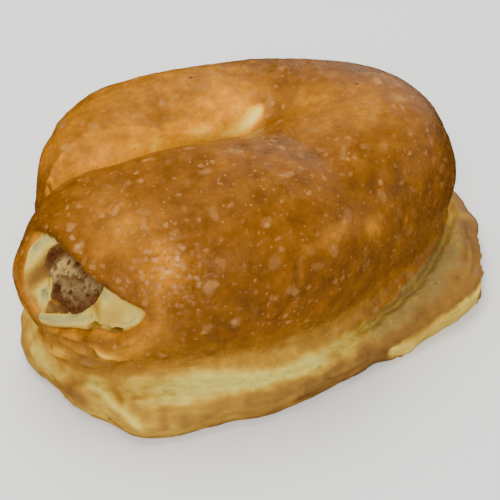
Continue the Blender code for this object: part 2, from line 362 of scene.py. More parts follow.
def skirt_rings():
    """Rings from below the widest line down to the table."""
    tuck, spread, rim = by_direction(WAIST_TUCK), by_direction(FOOT_SPREAD), by_direction(RIM_LEVEL)
    lines = []
    for t in np.linspace(0.0, 1.0, SKIRT_SAMPLES):
        offset, level = skirt_offset(t, tuck, spread, rim)
        radius = reach(offset)
        lines.append(np.stack([HUB[0] + radius * COS, HUB[1] + radius * SIN,
                               np.broadcast_to(level, (SECTORS,))], axis=1))
    dense = np.stack(lines, axis=0)
    shares = np.linspace(0.0, 1.0, SKIRT_RINGS + 1)[1:]
    strands = [spread_along(dense[:, j], shares) for j in range(SECTORS)]
    return np.stack(strands, axis=1)


skirt = skirt_rings()
print("skirt:", skirt.shape[0], "rings from", np.round(skirt[0, :, 2].max(), 1), "mm down to the table")

# %% The whole loaf
def drawn_out(places):
    """Places of the plain loaf after the dough is drawn out of its round form."""
    for middle, radius, pull in PULLS:
        nearness = np.exp(-(np.linalg.norm(places - np.array(middle), axis=-1) / radius) ** 2)
        places = places + nearness[..., None] * np.array(pull)
    return places


loaf = drawn_out(np.concatenate([crown, skirt], axis=0)) - SHIFT
plan = loaf[..., :2].reshape(-1, 2)
print("loaf:", loaf.shape[0] * loaf.shape[1], "points,", np.round(loaf.max(axis=(0, 1)), 1), "mm corner")
print("its middle is at", np.round((plan.min(axis=0) + plan.max(axis=0)) / 2.0, 2))

# %% [markdown]
# ## Ways to mark dough
#
# Real dough is full of small events: creases, ridges, swellings, torn edges. Sculpting them
# by hand would be one way. We describe them instead as short paths and ovals on the loaf, in
# millimetres, and ask every point of the mesh how near it is. One small family of helpers
# measures that, and the same answers serve for the shape and for the colour of the crust.

# %% Nearness to a path
FAR = 1.0e3                  # a distance that never counts


def near_path(points, rows, reach_mm, steps=6):
    """Distance from every point to a smooth path, and the share of the path there."""
    path = smooth_path(rows, steps)
    close = np.all((points > path.min(axis=0) - reach_mm) & (points < path.max(axis=0) + reach_mm),
                   axis=1)
    some = points[close]
    best, along = np.full(len(some), FAR), np.zeros(len(some))
    for k, (a, b) in enumerate(zip(path, path[1:])):
        run = b - a
        t = np.clip((some - a) @ run / (run @ run), 0.0, 1.0)
        away = np.linalg.norm(some - a - t[:, None] * run, axis=1)
        nearer = away < best
        best = np.where(nearer, away, best)
        along = np.where(nearer, (k + t) / (len(path) - 1), along)
    distance, share = np.full(len(points), FAR), np.zeros(len(points))
    distance[close], share[close] = best, along
    return distance, share


def ridge(points, rows, width, ends=0.2):
    """1 on the path and 0 away from it, faded at the path's two ends."""
    distance, share = near_path(points, rows, 3.0 * width)
    fade = smooth_step(share / ends) * smooth_step((1.0 - share) / ends)
    return np.exp(-(distance / width) ** 2) * fade


beside = ridge(np.array([[5.0, 1.0]]), ((0.0, 0.0), (10.0, 0.0)), 1.0)[0]
print("a ridge falls to", round(float(beside), 2), "at its width")

# %% Ovals and outlines
def oval(points, middle, radii, turn=0.0):
    """1 in the middle of an oval patch, falling to 0 outside it. Works in 2D and 3D."""
    away = points - np.array(middle)
    a = math.radians(turn)
    x = away[:, 0] * math.cos(a) + away[:, 1] * math.sin(a)
    y = away[:, 1] * math.cos(a) - away[:, 0] * math.sin(a)
    total = (x / radii[0]) ** 2 + (y / radii[1]) ** 2
    if len(radii) == 3:
        total = total + (away[:, 2] / radii[2]) ** 2
    return np.exp(-total)


def inside_outline(points, rows):
    """Distance to a closed smooth outline in a plane, positive inside it."""
    path = smooth_path(rows, 6, closed=True)
    best, crossings = np.full(len(points), FAR), np.zeros(len(points), dtype=int)
    x, y = points[:, 0], points[:, 1]
    for a, b in zip(path, path[1:]):
        run = b - a
        if run @ run < 1e-9:
            continue
        t = np.clip((points - a) @ run / (run @ run), 0.0, 1.0)
        best = np.minimum(best, np.linalg.norm(points - a - t[:, None] * run, axis=1))
        if a[1] != b[1]:
            spans = (y < a[1]) != (y < b[1])
            crossings += spans & (x < a[0] + (y - a[1]) * run[0] / run[1])
    return np.where(crossings % 2 == 1, best, -best)


rim_of_oval = oval(np.array([[3.0, 0.0]]), (0.0, 0.0), (3.0, 1.0))[0]
print("an oval patch falls to", round(float(rim_of_oval), 2), "at its radius")

# %% Noise, and marks taken from a table
def grain(points, size, seed, octaves=3, stretch=(1.0, 1.0, 1.0)):
    """Uneven noise from about -1 to 1, with lumps of the given size in millimetres."""
    places = (points / (size * np.array(stretch)) + 17.3 * seed).tolist()
    return np.array([noise.fractal(place, 1.0, 2.0, octaves) for place in places])


def toward(values, goal, weight):
    """Values moved toward a goal by a weight from 0 to 1."""
    weight = np.clip(weight, 0.0, 1.0)
    return values + (goal - values) * weight


def raise_along(values, places, rows, gain=1.0):
    """Values raised along paths: each row has a width, a height and the path."""
    for width, height, path in rows:
        values = values + gain * height * ridge(places, path, width)
    return values


def raise_ovals(values, places, rows, gain=1.0):
    """Values raised in patches: each row has a middle, the radii, a height and a turn."""
    n = places.shape[1]
    for row in rows:
        values = values + gain * row[-2] * oval(places, row[:n], row[n:2 * n], row[-1])
    return values


def shade_along(values, places, rows, share=1.0):
    """Values moved toward a shade along paths: each row has a width, shade, strength and path."""
    for width, shade, strength, path in rows:
        values = toward(values, shade, strength * share * ridge(places, path, width))
    return values


def shade_ovals(values, places, rows, share=1.0):
    """Values moved in patches: each row has a middle, the radii, a shade, its strength and a turn."""
    n = places.shape[1]
    for row in rows:
        patch = oval(places, row[:n], row[n:2 * n], row[-1])
        values = toward(values, row[-3], row[-2] * share * patch)
    return values


sample = grain(np.linspace(0.0, 60.0, 900).reshape(-1, 3), 3.0, 1)
print("noise in 3 mm lumps runs from", round(float(sample.min()), 2), "to", round(float(sample.max()), 2))

# %% Points of the loaf and the way out of it
def grid_normals(grid):
    """Outward unit normals of a grid of rings."""
    down = np.gradient(grid, axis=0)
    sideways = np.roll(grid, -1, axis=1) - np.roll(grid, 1, axis=1)
    normal = np.cross(down, sideways)
    return normal / np.maximum(np.linalg.norm(normal, axis=2, keepdims=True), 1e-9)


# places on the body are noted from this spot of the plan, not from the middle of the box
NOTED_FROM = np.array([2.5, 0.64, 0.0])
points = loaf.reshape(-1, 3)
spots = points + SHIFT - NOTED_FROM
normals = grid_normals(loaf).reshape(-1, 3)
outward = float(np.median((normals * (points - [0.0, 0.0, 15.0])).sum(axis=1)))
print("normals point", "out" if outward > 0 else "in", "on a loaf of", len(points), "points")

# %% [markdown]
# ## The open ends, unrolled
#
# Each arm ends in a torn mouth that wraps round the end wall, so its places are awkward to
# say in x and y. A paper label is easier to draw before it is stuck on a jar. We unroll each
# end wall the same way: `run` is the way along the wall in millimetres, zero where the mouth
# faces, and `level` is the height above the table. A feature is drawn on that flat label,
# and the depth it asks for is taken along the radius of the end.
#
# To go back from a label into space we need the wall's distance from the end's middle. It
# follows from the crown's formula, so we tabulate it once for each end.

# %% The end walls as flat labels
LABEL_STEPS = 121
LABEL_LEVELS = (10.0, 41.5)
END_INNER = 12.0             # nearer to the end's middle than this, a label stops
# middle, direction the end faces in degrees from +X, radius, and how far its label runs
ENDS = {
    "front": (np.array(STATIONS[0][:2]), 225.0, 23.0, 32.0),
    "back": (np.array(STATIONS[-1][:2]), 145.0, 18.0, 15.0),
}


def end_label(places, end):
    """Run and level of every point on an end's label, its way out, and 1 where it counts."""
    middle, facing, radius, span = ENDS[end]
    side = places[:, :2] + SHIFT[:2] - middle
    turn = np.degrees(np.arctan2(side[:, 1], side[:, 0])) - facing
    run = np.radians((turn + 180.0) % 360.0 - 180.0) * radius
    out = np.linalg.norm(side, axis=1)
    counts = smooth_step((out - END_INNER) / 2.0) * (np.abs(run) < span)
    way = np.column_stack([side / np.maximum(out, 1e-6)[:, None], np.zeros(len(places))])
    return np.column_stack([run, places[:, 2]]), way, counts


for end in ENDS:
    print("the", end, "label covers", int((end_label(points, end)[2] > 0.5).sum()), "points")

# %% From a label back into space
def wall_table(end):
    """Distance of the plain wall from an end's middle, by run and by level."""
    middle, facing, radius, span = ENDS[end]
    turn = np.radians(facing) + np.linspace(-span, span, LABEL_STEPS) / radius
    east, north = np.cos(turn)[:, None], np.sin(turn)[:, None]
    far = np.linspace(5.0, 40.0, 351)        # places outward from the end's middle
    edge = (distances(middle[0] + far * east, middle[1] + far * north) - LINE[:, 2]).min(axis=-1)
    k = np.argmax(edge > 0.0, axis=1)
    rows = np.arange(LABEL_STEPS)
    before, after = edge[rows, k - 1], edge[rows, k]
    rim = (far[k] - (far[1] - far[0]) * after / (after - before))[:, None]
    out = rim * (1.0 - (1.0 - np.linspace(0.2, 1.0, 200)) ** RIM_CROWDING)
    climb = crown_height(middle[0] + out * east, middle[1] + out * north)[:, ::-1]
    climb = np.maximum.accumulate(climb, axis=1)
    levels = np.linspace(*LABEL_LEVELS, LABEL_STEPS)
    tuck = WAIST_DEPTH * smooth_step((BULGE_HEIGHT - levels) / (BULGE_HEIGHT - WAIST_HEIGHT))
    table = rim - tuck
    for k in range(LABEL_STEPS):
        upper = np.interp(levels, climb[k], out[k, ::-1])
        table[k] = np.where(levels > BULGE_HEIGHT, upper, table[k])
    return table


WALLS = {end: wall_table(end) for end in ENDS}


def end_place(end, run, level, depth):
    """Points in space for places on an end's label, at a depth under its wall."""
    middle, facing, radius, span = ENDS[end]
    low, high = LABEL_LEVELS
    a = np.clip((run + span) / (2.0 * span), 0.0, 0.999) * (LABEL_STEPS - 1)
    b = np.clip((level - low) / (high - low), 0.0, 0.999) * (LABEL_STEPS - 1)
    i, j = a.astype(int), b.astype(int)
    a, b = a - i, b - j
    wall = WALLS[end]
    left = (1.0 - b) * wall[i, j] + b * wall[i, j + 1]
    right = (1.0 - b) * wall[i + 1, j] + b * wall[i + 1, j + 1]
    out = left + a * (right - left) - depth
    turn = np.radians(facing) + run / radius
    place = np.stack([middle[0] + out * np.cos(turn), middle[1] + out * np.sin(turn), level], axis=-1)
    return drawn_out(place) - SHIFT


for end, wall in WALLS.items():
    print(end, "wall from", round(float(wall.min()), 1), "to", round(float(wall.max()), 1), "mm out")

# %% [markdown]
# ## The mouths
#
# When the dough was rolled round its filling, the ends were only pinched shut. In the oven
# the filling swelled and tore them open. At the front arm's end the glazed crust stops in a
# lip, and inside it show a pale flap at the left, smooth dough that bulges at the right, a
# tight white roll along the bottom and the filling in between. The back arm's end faces away
# and is built more simply, in the same manner.
#
# First the crust gets its holes. Their edge comes in two steps: a soft roll-off, as thick as
# the crust, and then a steep drop to where the inner dough goes as a piece of its own.

# %% The holes in the crust
MOUTHS = {
    "front": ((-18.9, 35.0), (-17.6, 36.2), (-15.3, 36.9), (-12.4, 37.3), (-9.4, 37.3), (-5.2, 37.1),
              (-0.7, 36.5), (2.5, 35.4), (6.6, 34.2), (11.4, 31.9), (15.6, 29.5), (16.2, 28.4),
              (14.6, 26.2), (12.0, 24.2), (9.7, 22.9), (7.2, 23.0), (4.9, 23.2), (2.7, 22.4),
              (0.4, 21.9), (-2.0, 20.8), (-4.8, 19.8), (-6.8, 19.9), (-8.6, 21.2), (-10.4, 23.6),
              (-12.4, 26.4), (-13.9, 29.0), (-15.2, 31.4), (-16.9, 33.4)),
    "back": ((-11.5, 29.0), (-8.0, 33.5), (-2.0, 35.2), (4.5, 34.0), (10.0, 31.0), (11.8, 27.0),
             (8.5, 22.6), (2.0, 20.8), (-4.5, 21.2), (-9.5, 24.0)),
}
FILLINGS = {
    "front": ((-11.9, 33.6), (-11.6, 35.3), (-9.4, 37.2), (-5.4, 38.0), (-0.7, 37.6), (2.6, 36.6),
              (6.5, 34.2), (5.6, 31.0), (4.2, 29.0), (1.6, 26.6), (-0.3, 25.4), (-1.8, 26.6),
              (-4.4, 27.3), (-6.0, 27.2), (-6.1, 30.6), (-7.9, 31.4), (-9.8, 32.2)),
    "back": ((-5.6, 28.0), (-4.0, 31.4), (0.4, 32.6), (4.6, 31.2), (6.0, 28.2), (4.2, 25.4),
             (0.2, 24.0), (-3.8, 25.2)),
}
LIP_DROP, LIP_RUN = 1.0, 1.3     # the soft roll-off at the edge: how deep, and over what width
CUT_DEPTH = 6.5
CUT_START, CUT_RUN = 0.3, 0.5    # where inside the outline the steep drop begins, and its width
FRAY, FRAY_SIZE = 0.22, 1.6      # how far the torn edge wanders, and in what steps
MOUTH_SIDE, MOUTH_FOOT = 22.0, 15.0      # no mouth reaches further along a label, or lower


def mouth_cut(places, label, end):
    """Depth of the cut at every point, and how far inside the mouth's outline it is."""
    wander = np.column_stack([grain(places, FRAY_SIZE, seed) for seed in (3, 4)])
    frayed = label + FRAY * wander
    inside = inside_outline(frayed, MOUTHS[end])
    depth = LIP_DROP * smooth_step(inside / LIP_RUN + 0.5)
    return depth + (CUT_DEPTH - LIP_DROP) * smooth_step((inside - CUT_START) / CUT_RUN), inside


cut, in_mouth, end_way = np.zeros(len(points)), np.full(len(points), -FAR), np.zeros(points.shape)
for end in ENDS:
    label, way, on_label = end_label(points, end)
    here = (on_label > 0) & (np.abs(label[:, 0]) < MOUTH_SIDE) & (label[:, 1] > MOUTH_FOOT)
    depth, inside = mouth_cut(points[here], label[here], end)
    cut[here] = np.maximum(cut[here], depth * on_label[here])
    in_mouth[here] = np.maximum(in_mouth[here], inside)
    end_way[here] = way[here]
    print(end, "mouth:", int((inside > 0).sum()), "points of the crust are cut")

# %% [markdown]
# ## Folds round the front mouth
#
# Below the mouth the dough was pressed together with the thumb, and it kept the marks: one
# rounded lower lip, a soft fold under it, and the crease where roll meets foot. Each is a
# path on the label with a width and a height. Raised edges catch the light and grooves hold
# the shadow, so even half a millimetre tells.

# %% Relief of the end wall
LIP_CREASE = ((-6.4, 18.2), (-3.5, 19.2), (-1.0, 20.0), (1.1, 20.2), (2.9, 19.4), (4.2, 18.1))
LIP_FORK = ((4.6, 20.4), (4.9, 18.6), (5.4, 16.7), (6.8, 15.9))
FOOT_CREASE = ((-10.8, 8.9), (-4.8, 9.5), (-1.7, 10.2), (3.2, 10.8), (7.1, 12.2), (10.5, 14.5),
               (13.7, 17.5))
FOLD_STRENGTH = 1.4          # of all the heights in the table
# width, height, then the path on the label
END_FOLDS = (
    (1.1, 0.70, ((-7.0, 19.2), (-5.0, 20.2), (-2.0, 21.3), (1.5, 21.8), (4.9, 22.4), (9.0, 21.9),
                 (12.6, 23.0), (15.4, 25.2))),
    (0.7, -0.75, LIP_CREASE),
    (0.5, -0.60, LIP_FORK),
    (0.8, -0.60, FOOT_CREASE),
    (0.9, -0.85, ((-9.4, 12.0), (-6.8, 13.6), (-2.4, 14.7), (1.7, 13.7), (5.9, 13.2), (11.1, 14.1),
                  (14.5, 14.8))),
    (0.8, -0.35, ((-8.6, 17.6), (-6.0, 17.4), (-2.4, 17.0), (0.6, 16.0))),
    (1.3, 0.45, ((-9.7, 11.0), (-6.3, 12.3), (-3.1, 12.6), (2.0, 11.8), (6.0, 11.2))),
    (0.9, 0.45, ((-0.6, 18.4), (1.6, 18.0), (4.5, 16.9), (8.8, 16.4))),
    (1.1, 0.55, ((-7.6, 6.1), (-4.1, 6.0), (-1.5, 5.4), (1.6, 6.6), (4.4, 7.9), (9.2, 9.5))),
    (0.7, -0.5, ((-8.4, 7.8), (-5.0, 8.0), (-1.0, 7.6), (3.0, 9.3))),
    (0.45, -0.6, ((-15.2, 13.0), (-14.7, 11.0), (-13.9, 9.2))),
    (0.9, 0.40, ((-19.8, 34.6), (-18.6, 36.6), (-15.4, 37.9), (-9.4, 38.2), (-5.2, 38.0), (-0.4, 37.3),
                 (2.9, 36.3), (7.0, 35.1), (11.9, 32.8), (16.2, 30.2), (18.5, 28.4))),
    (0.5, -0.30, ((13.2, 21.5), (15.4, 23.4), (17.0, 26.4), (18.6, 28.4))),
)
# run, level, radius along, radius up, height, turn
END_SWELLS = (
    (2.0, 18.0, 11.0, 3.0, 0.7, 4.0),        # lower lip
    (7.4, 18.8, 3.4, 1.6, 0.70, -25.0),      # blister on it, painted pale further down, partly as a highlight
    (-7.0, 10.4, 4.4, 1.5, 0.55, 6.0),       # and at the left, lower down
    (-17.5, 30.0, 2.5, 6.0, 0.4, 0.0),       # outer wall left of the flap
)


def end_relief(label):
    """Height of the folds of the end wall above the plain loaf."""
    height = raise_along(np.zeros(len(label)), label, END_FOLDS, FOLD_STRENGTH)
    return raise_ovals(height, label, END_SWELLS)


label, way, on_label = end_label(points, "front")
end_height = np.where(in_mouth < 0.5, end_relief(label) * on_label, 0.0)
print("folds on the end wall rise", round(float(end_height.max()), 2), "mm")

# %% [markdown]
# ## Creases, cracks and the torn waist
#
# Elsewhere the marks are placed in space. The waist is where the roll rose off its foot: the
# skin tore there and left a pale band. On the right the crust stands clear of the foot over a
# dark groove, and the foot shows its sheets of pastry: the upper one ends in a step, and a
# paler one sticks out under it. How far out each border lies changes with the direction
# round the loaf, so each is a small table.

# %% Borders on the foot
# direction, and how far outside the roll's outline the crust ends
CRUST_END = ((0, 3.0), (20, 0.5), (60, -1.0), (180, -1.2), (200, -1.0), (218, -1.0), (228, -1.5),
             (240, -1.0), (252, -0.1), (268, 0.0), (275, 0.4), (289, 1.4), (296, 1.7), (306, 1.2),
             (331, 0.9), (344, 1.4), (360, 3.0))
# the same for the start of the golden foot
GOLDEN_START = ((0, 4.2), (30, 3.0), (90, 3.0), (180, 2.4), (200, 1.0), (212, 0.8), (220, 2.1),
                (227, 3.4), (240, 2.3), (250, 2.1), (268, 2.3), (276, 3.4), (284, 5.1), (293, 6.2),
                (303, 6.9), (313, 7.6), (324, 7.0), (335, 5.8), (343, 4.3), (360, 4.2))
# the step where the upper sheet ends; 40 means that there is none, and past the foot's rim it fades out
STEP_AT = ((0, 12.0), (20, 40.0), (268, 40.0), (277, 5.5), (284, 7.1), (294, 9.2), (305, 10.2),
           (313, 11.8), (322, 12.9), (328, 12.6), (335, 10.7), (342, 9.4), (350, 9.2), (360, 12.0))
STEP_DROP = 1.1
# how softly the crust fades into the pale band
SOFTNESS = ((0, 1.0), (200, 1.2), (220, 2.4), (262, 2.4), (285, 0.6), (345, 0.6),
            (360, 1.0))
# the groove between crust and foot: where it lies and how deep it is
GROOVE_AT = ((0, 3.4), (40, 0.5), (180, -1.0), (220, -0.8), (250, 0.3), (268, 0.5), (275, 0.9),
             (288, 2.2), (300, 2.7), (308, 2.8), (320, 2.3), (331, 1.7), (341, 2.0), (360, 3.4))
GROOVE_DEPTH = ((0, 1.6), (60, 0.8), (180, 0.5), (215, 0.4), (225, 0.1), (262, 0.3), (275, 1.4),
                (290, 2.5), (335, 2.4), (360, 1.6))

hub = np.array(HUB) - SHIFT[:2]
direction = np.degrees(np.arctan2(points[:, 1] - hub[1], points[:, 0] - hub[0])) % 360.0
outside = (distances(points[:, 0] + SHIFT[0], points[:, 1] + SHIFT[1]) - LINE[:, 2]).min(axis=-1)
under = points[:, 2] < WAIST_HEIGHT + 0.3        # the skirt's points, where the borders count


def beyond(table, wander=0.0):
    """How far each point of the skirt lies outside a border, and far inside it elsewhere."""
    return np.where(under, outside + wander - by_direction(table, direction), -20.0)


uneven = grain(points, 4.5, 11)
past_crust = beyond(CRUST_END, 0.45 * uneven)
past_golden = beyond(GOLDEN_START, 0.9 * uneven)
past_step = beyond(STEP_AT, 0.35 * grain(points, 3.0, 13))
softness = by_direction(SOFTNESS, direction)
pale = smooth_step(past_crust / softness + 0.5)
band = pale * smooth_step(0.5 - past_golden / 3.0)
print("the torn band covers", round(100 * float((band > 0.5).mean())), "% of the points")

# %% [markdown]
# With the borders set, the relief itself is a sum: each fold, crack and swelling adds or
# takes away a little height. Some paths get a name first, because the crust is also browner
# or paler along them, and the colour further down reads the same path.

# %% Relief of the body and the foot
# paths in x, y and z: a hairline crack, marks at the foot's front corner, pastry layers at its right
CRACK = ((-0.5, -35.2, 37.1), (-1.4, -37.6, 33.5), (-2.2, -38.9, 30.0), (-3.0, -39.8, 27.0),
         (-5.2, -40.4, 24.5), (-10.8, -40.8, 20.4))
CORNER_RIDGE = ((-45.6, -31.9, 8.7), (-44.3, -33.7, 8.6), (-42.9, -35.3, 8.4), (-41.8, -37.1, 7.8),
                (-41.0, -39.2, 7.0), (-39.9, -40.7, 6.4), (-38.2, -42.8, 5.7), (-36.7, -45.1, 4.1))
CORNER_CREASE = ((-41.1, -34.9, 9.0), (-40.5, -36.1, 8.5), (-39.9, -37.2, 8.2), (-39.3, -38.5, 7.6),
                 (-38.9, -40.4, 7.0))
OUTER_LAYER = ((51.2, -1.5, 8.4), (50.6, -9.2, 8.5), (49.6, -14.9, 7.8), (48.4, -18.5, 7.4),
               (46.0, -22.8, 7.7), (43.2, -26.2, 7.3))
INNER_LAYER = ((50.1, -6.6, 8.6), (48.6, -11.7, 8.5), (47.1, -16.4, 8.2), (44.7, -20.5, 8.2))
# width, height, then the path
BODY_FOLDS = (
    (0.50, -0.60, CRACK),
    (1.2, 0.45, ((1.0, -35.4, 36.6), (0.2, -37.9, 33.0), (-1.2, -40.0, 26.6))),
    (0.5, 0.45, ((-26.6, -37.6, 13.2), (-24.7, -38.1, 14.3), (-21.0, -39.0, 15.8), (-18.5, -39.4, 16.4))),
    (0.9, 0.8, CORNER_RIDGE),
    (0.7, -0.7, ((-47.0, -32.8, 7.6), (-44.9, -35.8, 7.0), (-43.4, -38.2, 5.8), (-41.4, -41.2, 4.4))),
    (0.6, -0.6, CORNER_CREASE),
    (1.2, 0.6, ((-54.8, -16.3, 6.9), (-54.1, -20.0, 7.1), (-52.5, -23.9, 7.0), (-50.1, -28.0, 7.3),
                (-48.4, -30.4, 7.6))),
    (0.45, -0.40, OUTER_LAYER),
    (0.45, -0.35, INNER_LAYER),
    (0.40, -0.45, ((50.6, -15.0, 6.8), (50.0, -18.3, 6.9), (48.4, -22.6, 6.9), (45.7, -26.8, 6.6),
                   (43.0, -29.4, 6.4))),
)
# x, y, z of the middle, three radii, height, turn
BODY_SWELLS = (
    (-27.0, -7.0, 43.5, 18.0, 7.0, 7.0, 1.6, 5.0),       # crest of the front arm
    (-27.6, -34.0, 36.0, 6.5, 5.0, 6.5, 0.8, 0.0),       # dome of the front arm's end
    (-13.5, -38.0, 27.0, 6.0, 6.0, 9.0, -0.5, 0.0),      # the arm is a little slimmer behind it
    (11.0, -31.0, 34.0, 9.0, 4.0, 3.6, 0.25, 30.0),      # patch on the front, swollen here and painted pale further down as a reflection
)


def body_relief():
    """Height of creases, cracks and swellings over the whole loaf."""
    height = raise_along(np.zeros(len(points)), spots, BODY_FOLDS)
    height = raise_ovals(height, spots, BODY_SWELLS)
    past_groove = beyond(GROOVE_AT, 0.4 * uneven)
    height -= by_direction(GROOVE_DEPTH, direction) * np.exp(-(past_groove / 0.8) ** 2)
    return height - STEP_DROP * smooth_step(past_step / 0.5)


body_height = body_relief()
print("body relief from", np.round(body_height.min(), 2), "to", np.round(body_height.max(), 2), "mm")

# %% [markdown]
# ## Unevenness
#
# No baked surface is ideal. Broad noise makes the loaf lumpy by a few tenths of a
# millimetre, a finer one wrinkles the crust, and the torn waist gets a coarse, ragged noise
# of its own. The foot is pastry laid over in sheets, so its noise is drawn out into lines
# that follow the rim, like the grain of wood.

# %% Noise of the dough, and blisters
BLISTERS = 700
BLISTER_RADII = (0.5, 1.9)
BLISTERS_ABOVE = 13.0        # level in millimetres
foot = smooth_step(past_golden / 3.6 + 0.5)
streaks = np.column_stack([direction * 0.35, outside * 1.6, points[:, 2] * 1.6])
# every line has a strength, the place where it counts, and noise with a lump size and a seed
rough = 0.32 * grain(points, 13.0, 21) + 0.10 * grain(points, 3.2, 22)
rough += 0.34 * band * grain(points, 1.7, 23, octaves=4, stretch=(1.6, 1.6, 0.7))
rough += 0.30 * foot * grain(streaks, 2.2, 24)
rough += 0.30 * band * grain(streaks, 0.7, 26)
rough += 0.45 * foot * grain(points, 9.0, 25, octaves=2)


def blister_field(count, low_mm, high_mm, seed):
    """Small round rises scattered over the crust: 1 in a blister's middle."""
    dice = random.Random(seed)
    tree = kdtree.KDTree(len(points))
    for i, point in enumerate(points.tolist()):
        tree.insert(point, i)
    tree.balance()
    crusty = np.flatnonzero((points[:, 2] > BLISTERS_ABOVE) & (in_mouth < -1.0))
    area = np.linalg.norm(np.cross(np.gradient(loaf, axis=0), np.gradient(loaf, axis=1)), axis=2)
    share = np.cumsum(area.reshape(-1)[crusty])
    field = np.zeros(len(points))
    for _ in range(count):
        spot = crusty[np.searchsorted(share, dice.random() * share[-1])]
        radius = low_mm + (high_mm - low_mm) * dice.random() ** 2.5
        for _, i, away in tree.find_range(points[spot].tolist(), radius):
            field[i] = max(field[i], smooth_step(1.0 - away / radius))
    return field


blisters = blister_field(BLISTERS, *BLISTER_RADII, seed=5)
rough += 0.09 * blisters
print("the crust has", BLISTERS, "blisters over", round(100 * float((blisters > 0.2).mean())), "% of it")

# %% [markdown]
# Now every height and depth is applied at once. The marks push each point along its normal,
# and the mouths sink along the way out of their end. The sole stays flat, because the roll
# was baked on a tray, and no point may go below the table.

# %% Shape the dough
PIT_CALM = 0.7               # share of the noise that is taken off inside the mouths
SOLE = 0.6                   # points of the plain loaf below this level are its sole
pit = np.clip(cut, 0.0, 1.0)
push = body_height + rough * (1.0 - PIT_CALM * pit) + end_height
shaped = points + normals * push[:, None] - end_way * cut[:, None]
sole = points[:, 2] < SOLE
shaped[:, 2] = np.maximum(np.where(sole, points[:, 2], shaped[:, 2]), 0.0)
print("the shaped loaf is", np.round(shaped.max(axis=0) - shaped.min(axis=0), 1), "mm")

# %% [markdown]
# ## How well each place is baked
#
# One number tells a baker most of what the eye sees: how brown the dough is. We store it on
# every point, from 0, raw cream, to 1, nearly burnt, and let the material turn it into
# colour. The crown is brown, the waist never saw the heat and stayed cream, the foot is
# golden with a browner rim, and round the mouth every fold has its own shade.

# %% Shades round the front mouth
# run, level, radius along, radius up, bake, strength, turn
END_SHADES = (
    (2.0, 17.6, 14.0, 4.6, 0.50, 0.85, 3.0),         # lower lip, orange-brown
    (-4.0, 19.6, 6.0, 0.9, 0.62, 0.8, 14.0),         # brown edge under the white roll
    (5.0, 21.6, 7.0, 1.0, 0.58, 0.7, 8.0),
    (8.0, 14.5, 4.0, 2.5, 0.40, 0.6, 0.0),
    (13.6, 21.6, 4.6, 3.4, 0.40, 0.9, 20.0),         # golden right of the mouth
    (17.4, 26.0, 3.0, 4.0, 0.44, 0.8, 0.0),
    (7.4, 18.8, 3.0, 1.2, 0.06, 0.95, -25.0),        # pale blister, partly a painted highlight on the lip's rounded fold
    (-7.0, 10.3, 4.4, 1.0, 0.06, 0.9, 6.0),
    (-6.3, 12.3, 3.6, 1.2, 0.16, 0.85, 12.0),        # pale blister at the left, partly a painted highlight
    (-2.0, 14.4, 6.0, 0.8, 0.56, 0.6, -4.0),
    (-10.6, 23.6, 1.2, 2.2, 0.60, 0.8, -15.0),       # orange strip left of the flap
    (-13.4, 20.0, 2.6, 5.0, 0.20, 0.8, 10.0),        # pale outer edge
    (-17.6, 30.0, 2.0, 6.0, 0.58, 0.8, 0.0),         # crust left of the flap
    (-19.6, 35.8, 3.0, 1.8, 0.86, 0.8, 0.0),         # brown corner above it
    (-5.5, 7.6, 2.6, 0.8, 0.55, 0.7, 0.0),
    (-0.8, 8.2, 2.6, 0.8, 0.52, 0.7, 10.0),
)
# width, bake, strength, then the path on the label
END_STRIPS = (
    (0.5, 0.80, 0.7, ((-6.6, 19.4), (-4.8, 19.4), (-2.0, 20.4), (0.6, 21.5), (3.0, 22.3), (5.2, 22.7),
                      (9.3, 22.4), (11.4, 23.3))),   # painted shadow under the white roll
    # the three creases are browned along their grooves: partly painted shade
    (0.6, 0.74, 0.8, LIP_CREASE),
    (0.5, 0.70, 0.8, LIP_FORK),
    (0.8, 0.68, 0.8, FOOT_CREASE),
    (1.3, 0.38, 0.8, ((-3.0, 21.0), (0.6, 21.8), (3.4, 21.6))),
    (1.2, 0.36, 0.7, ((-4.6, 17.0), (-1.0, 17.6), (2.4, 16.2))),
)
print(len(END_SHADES), "patches and", len(END_STRIPS), "strips round the front mouth")

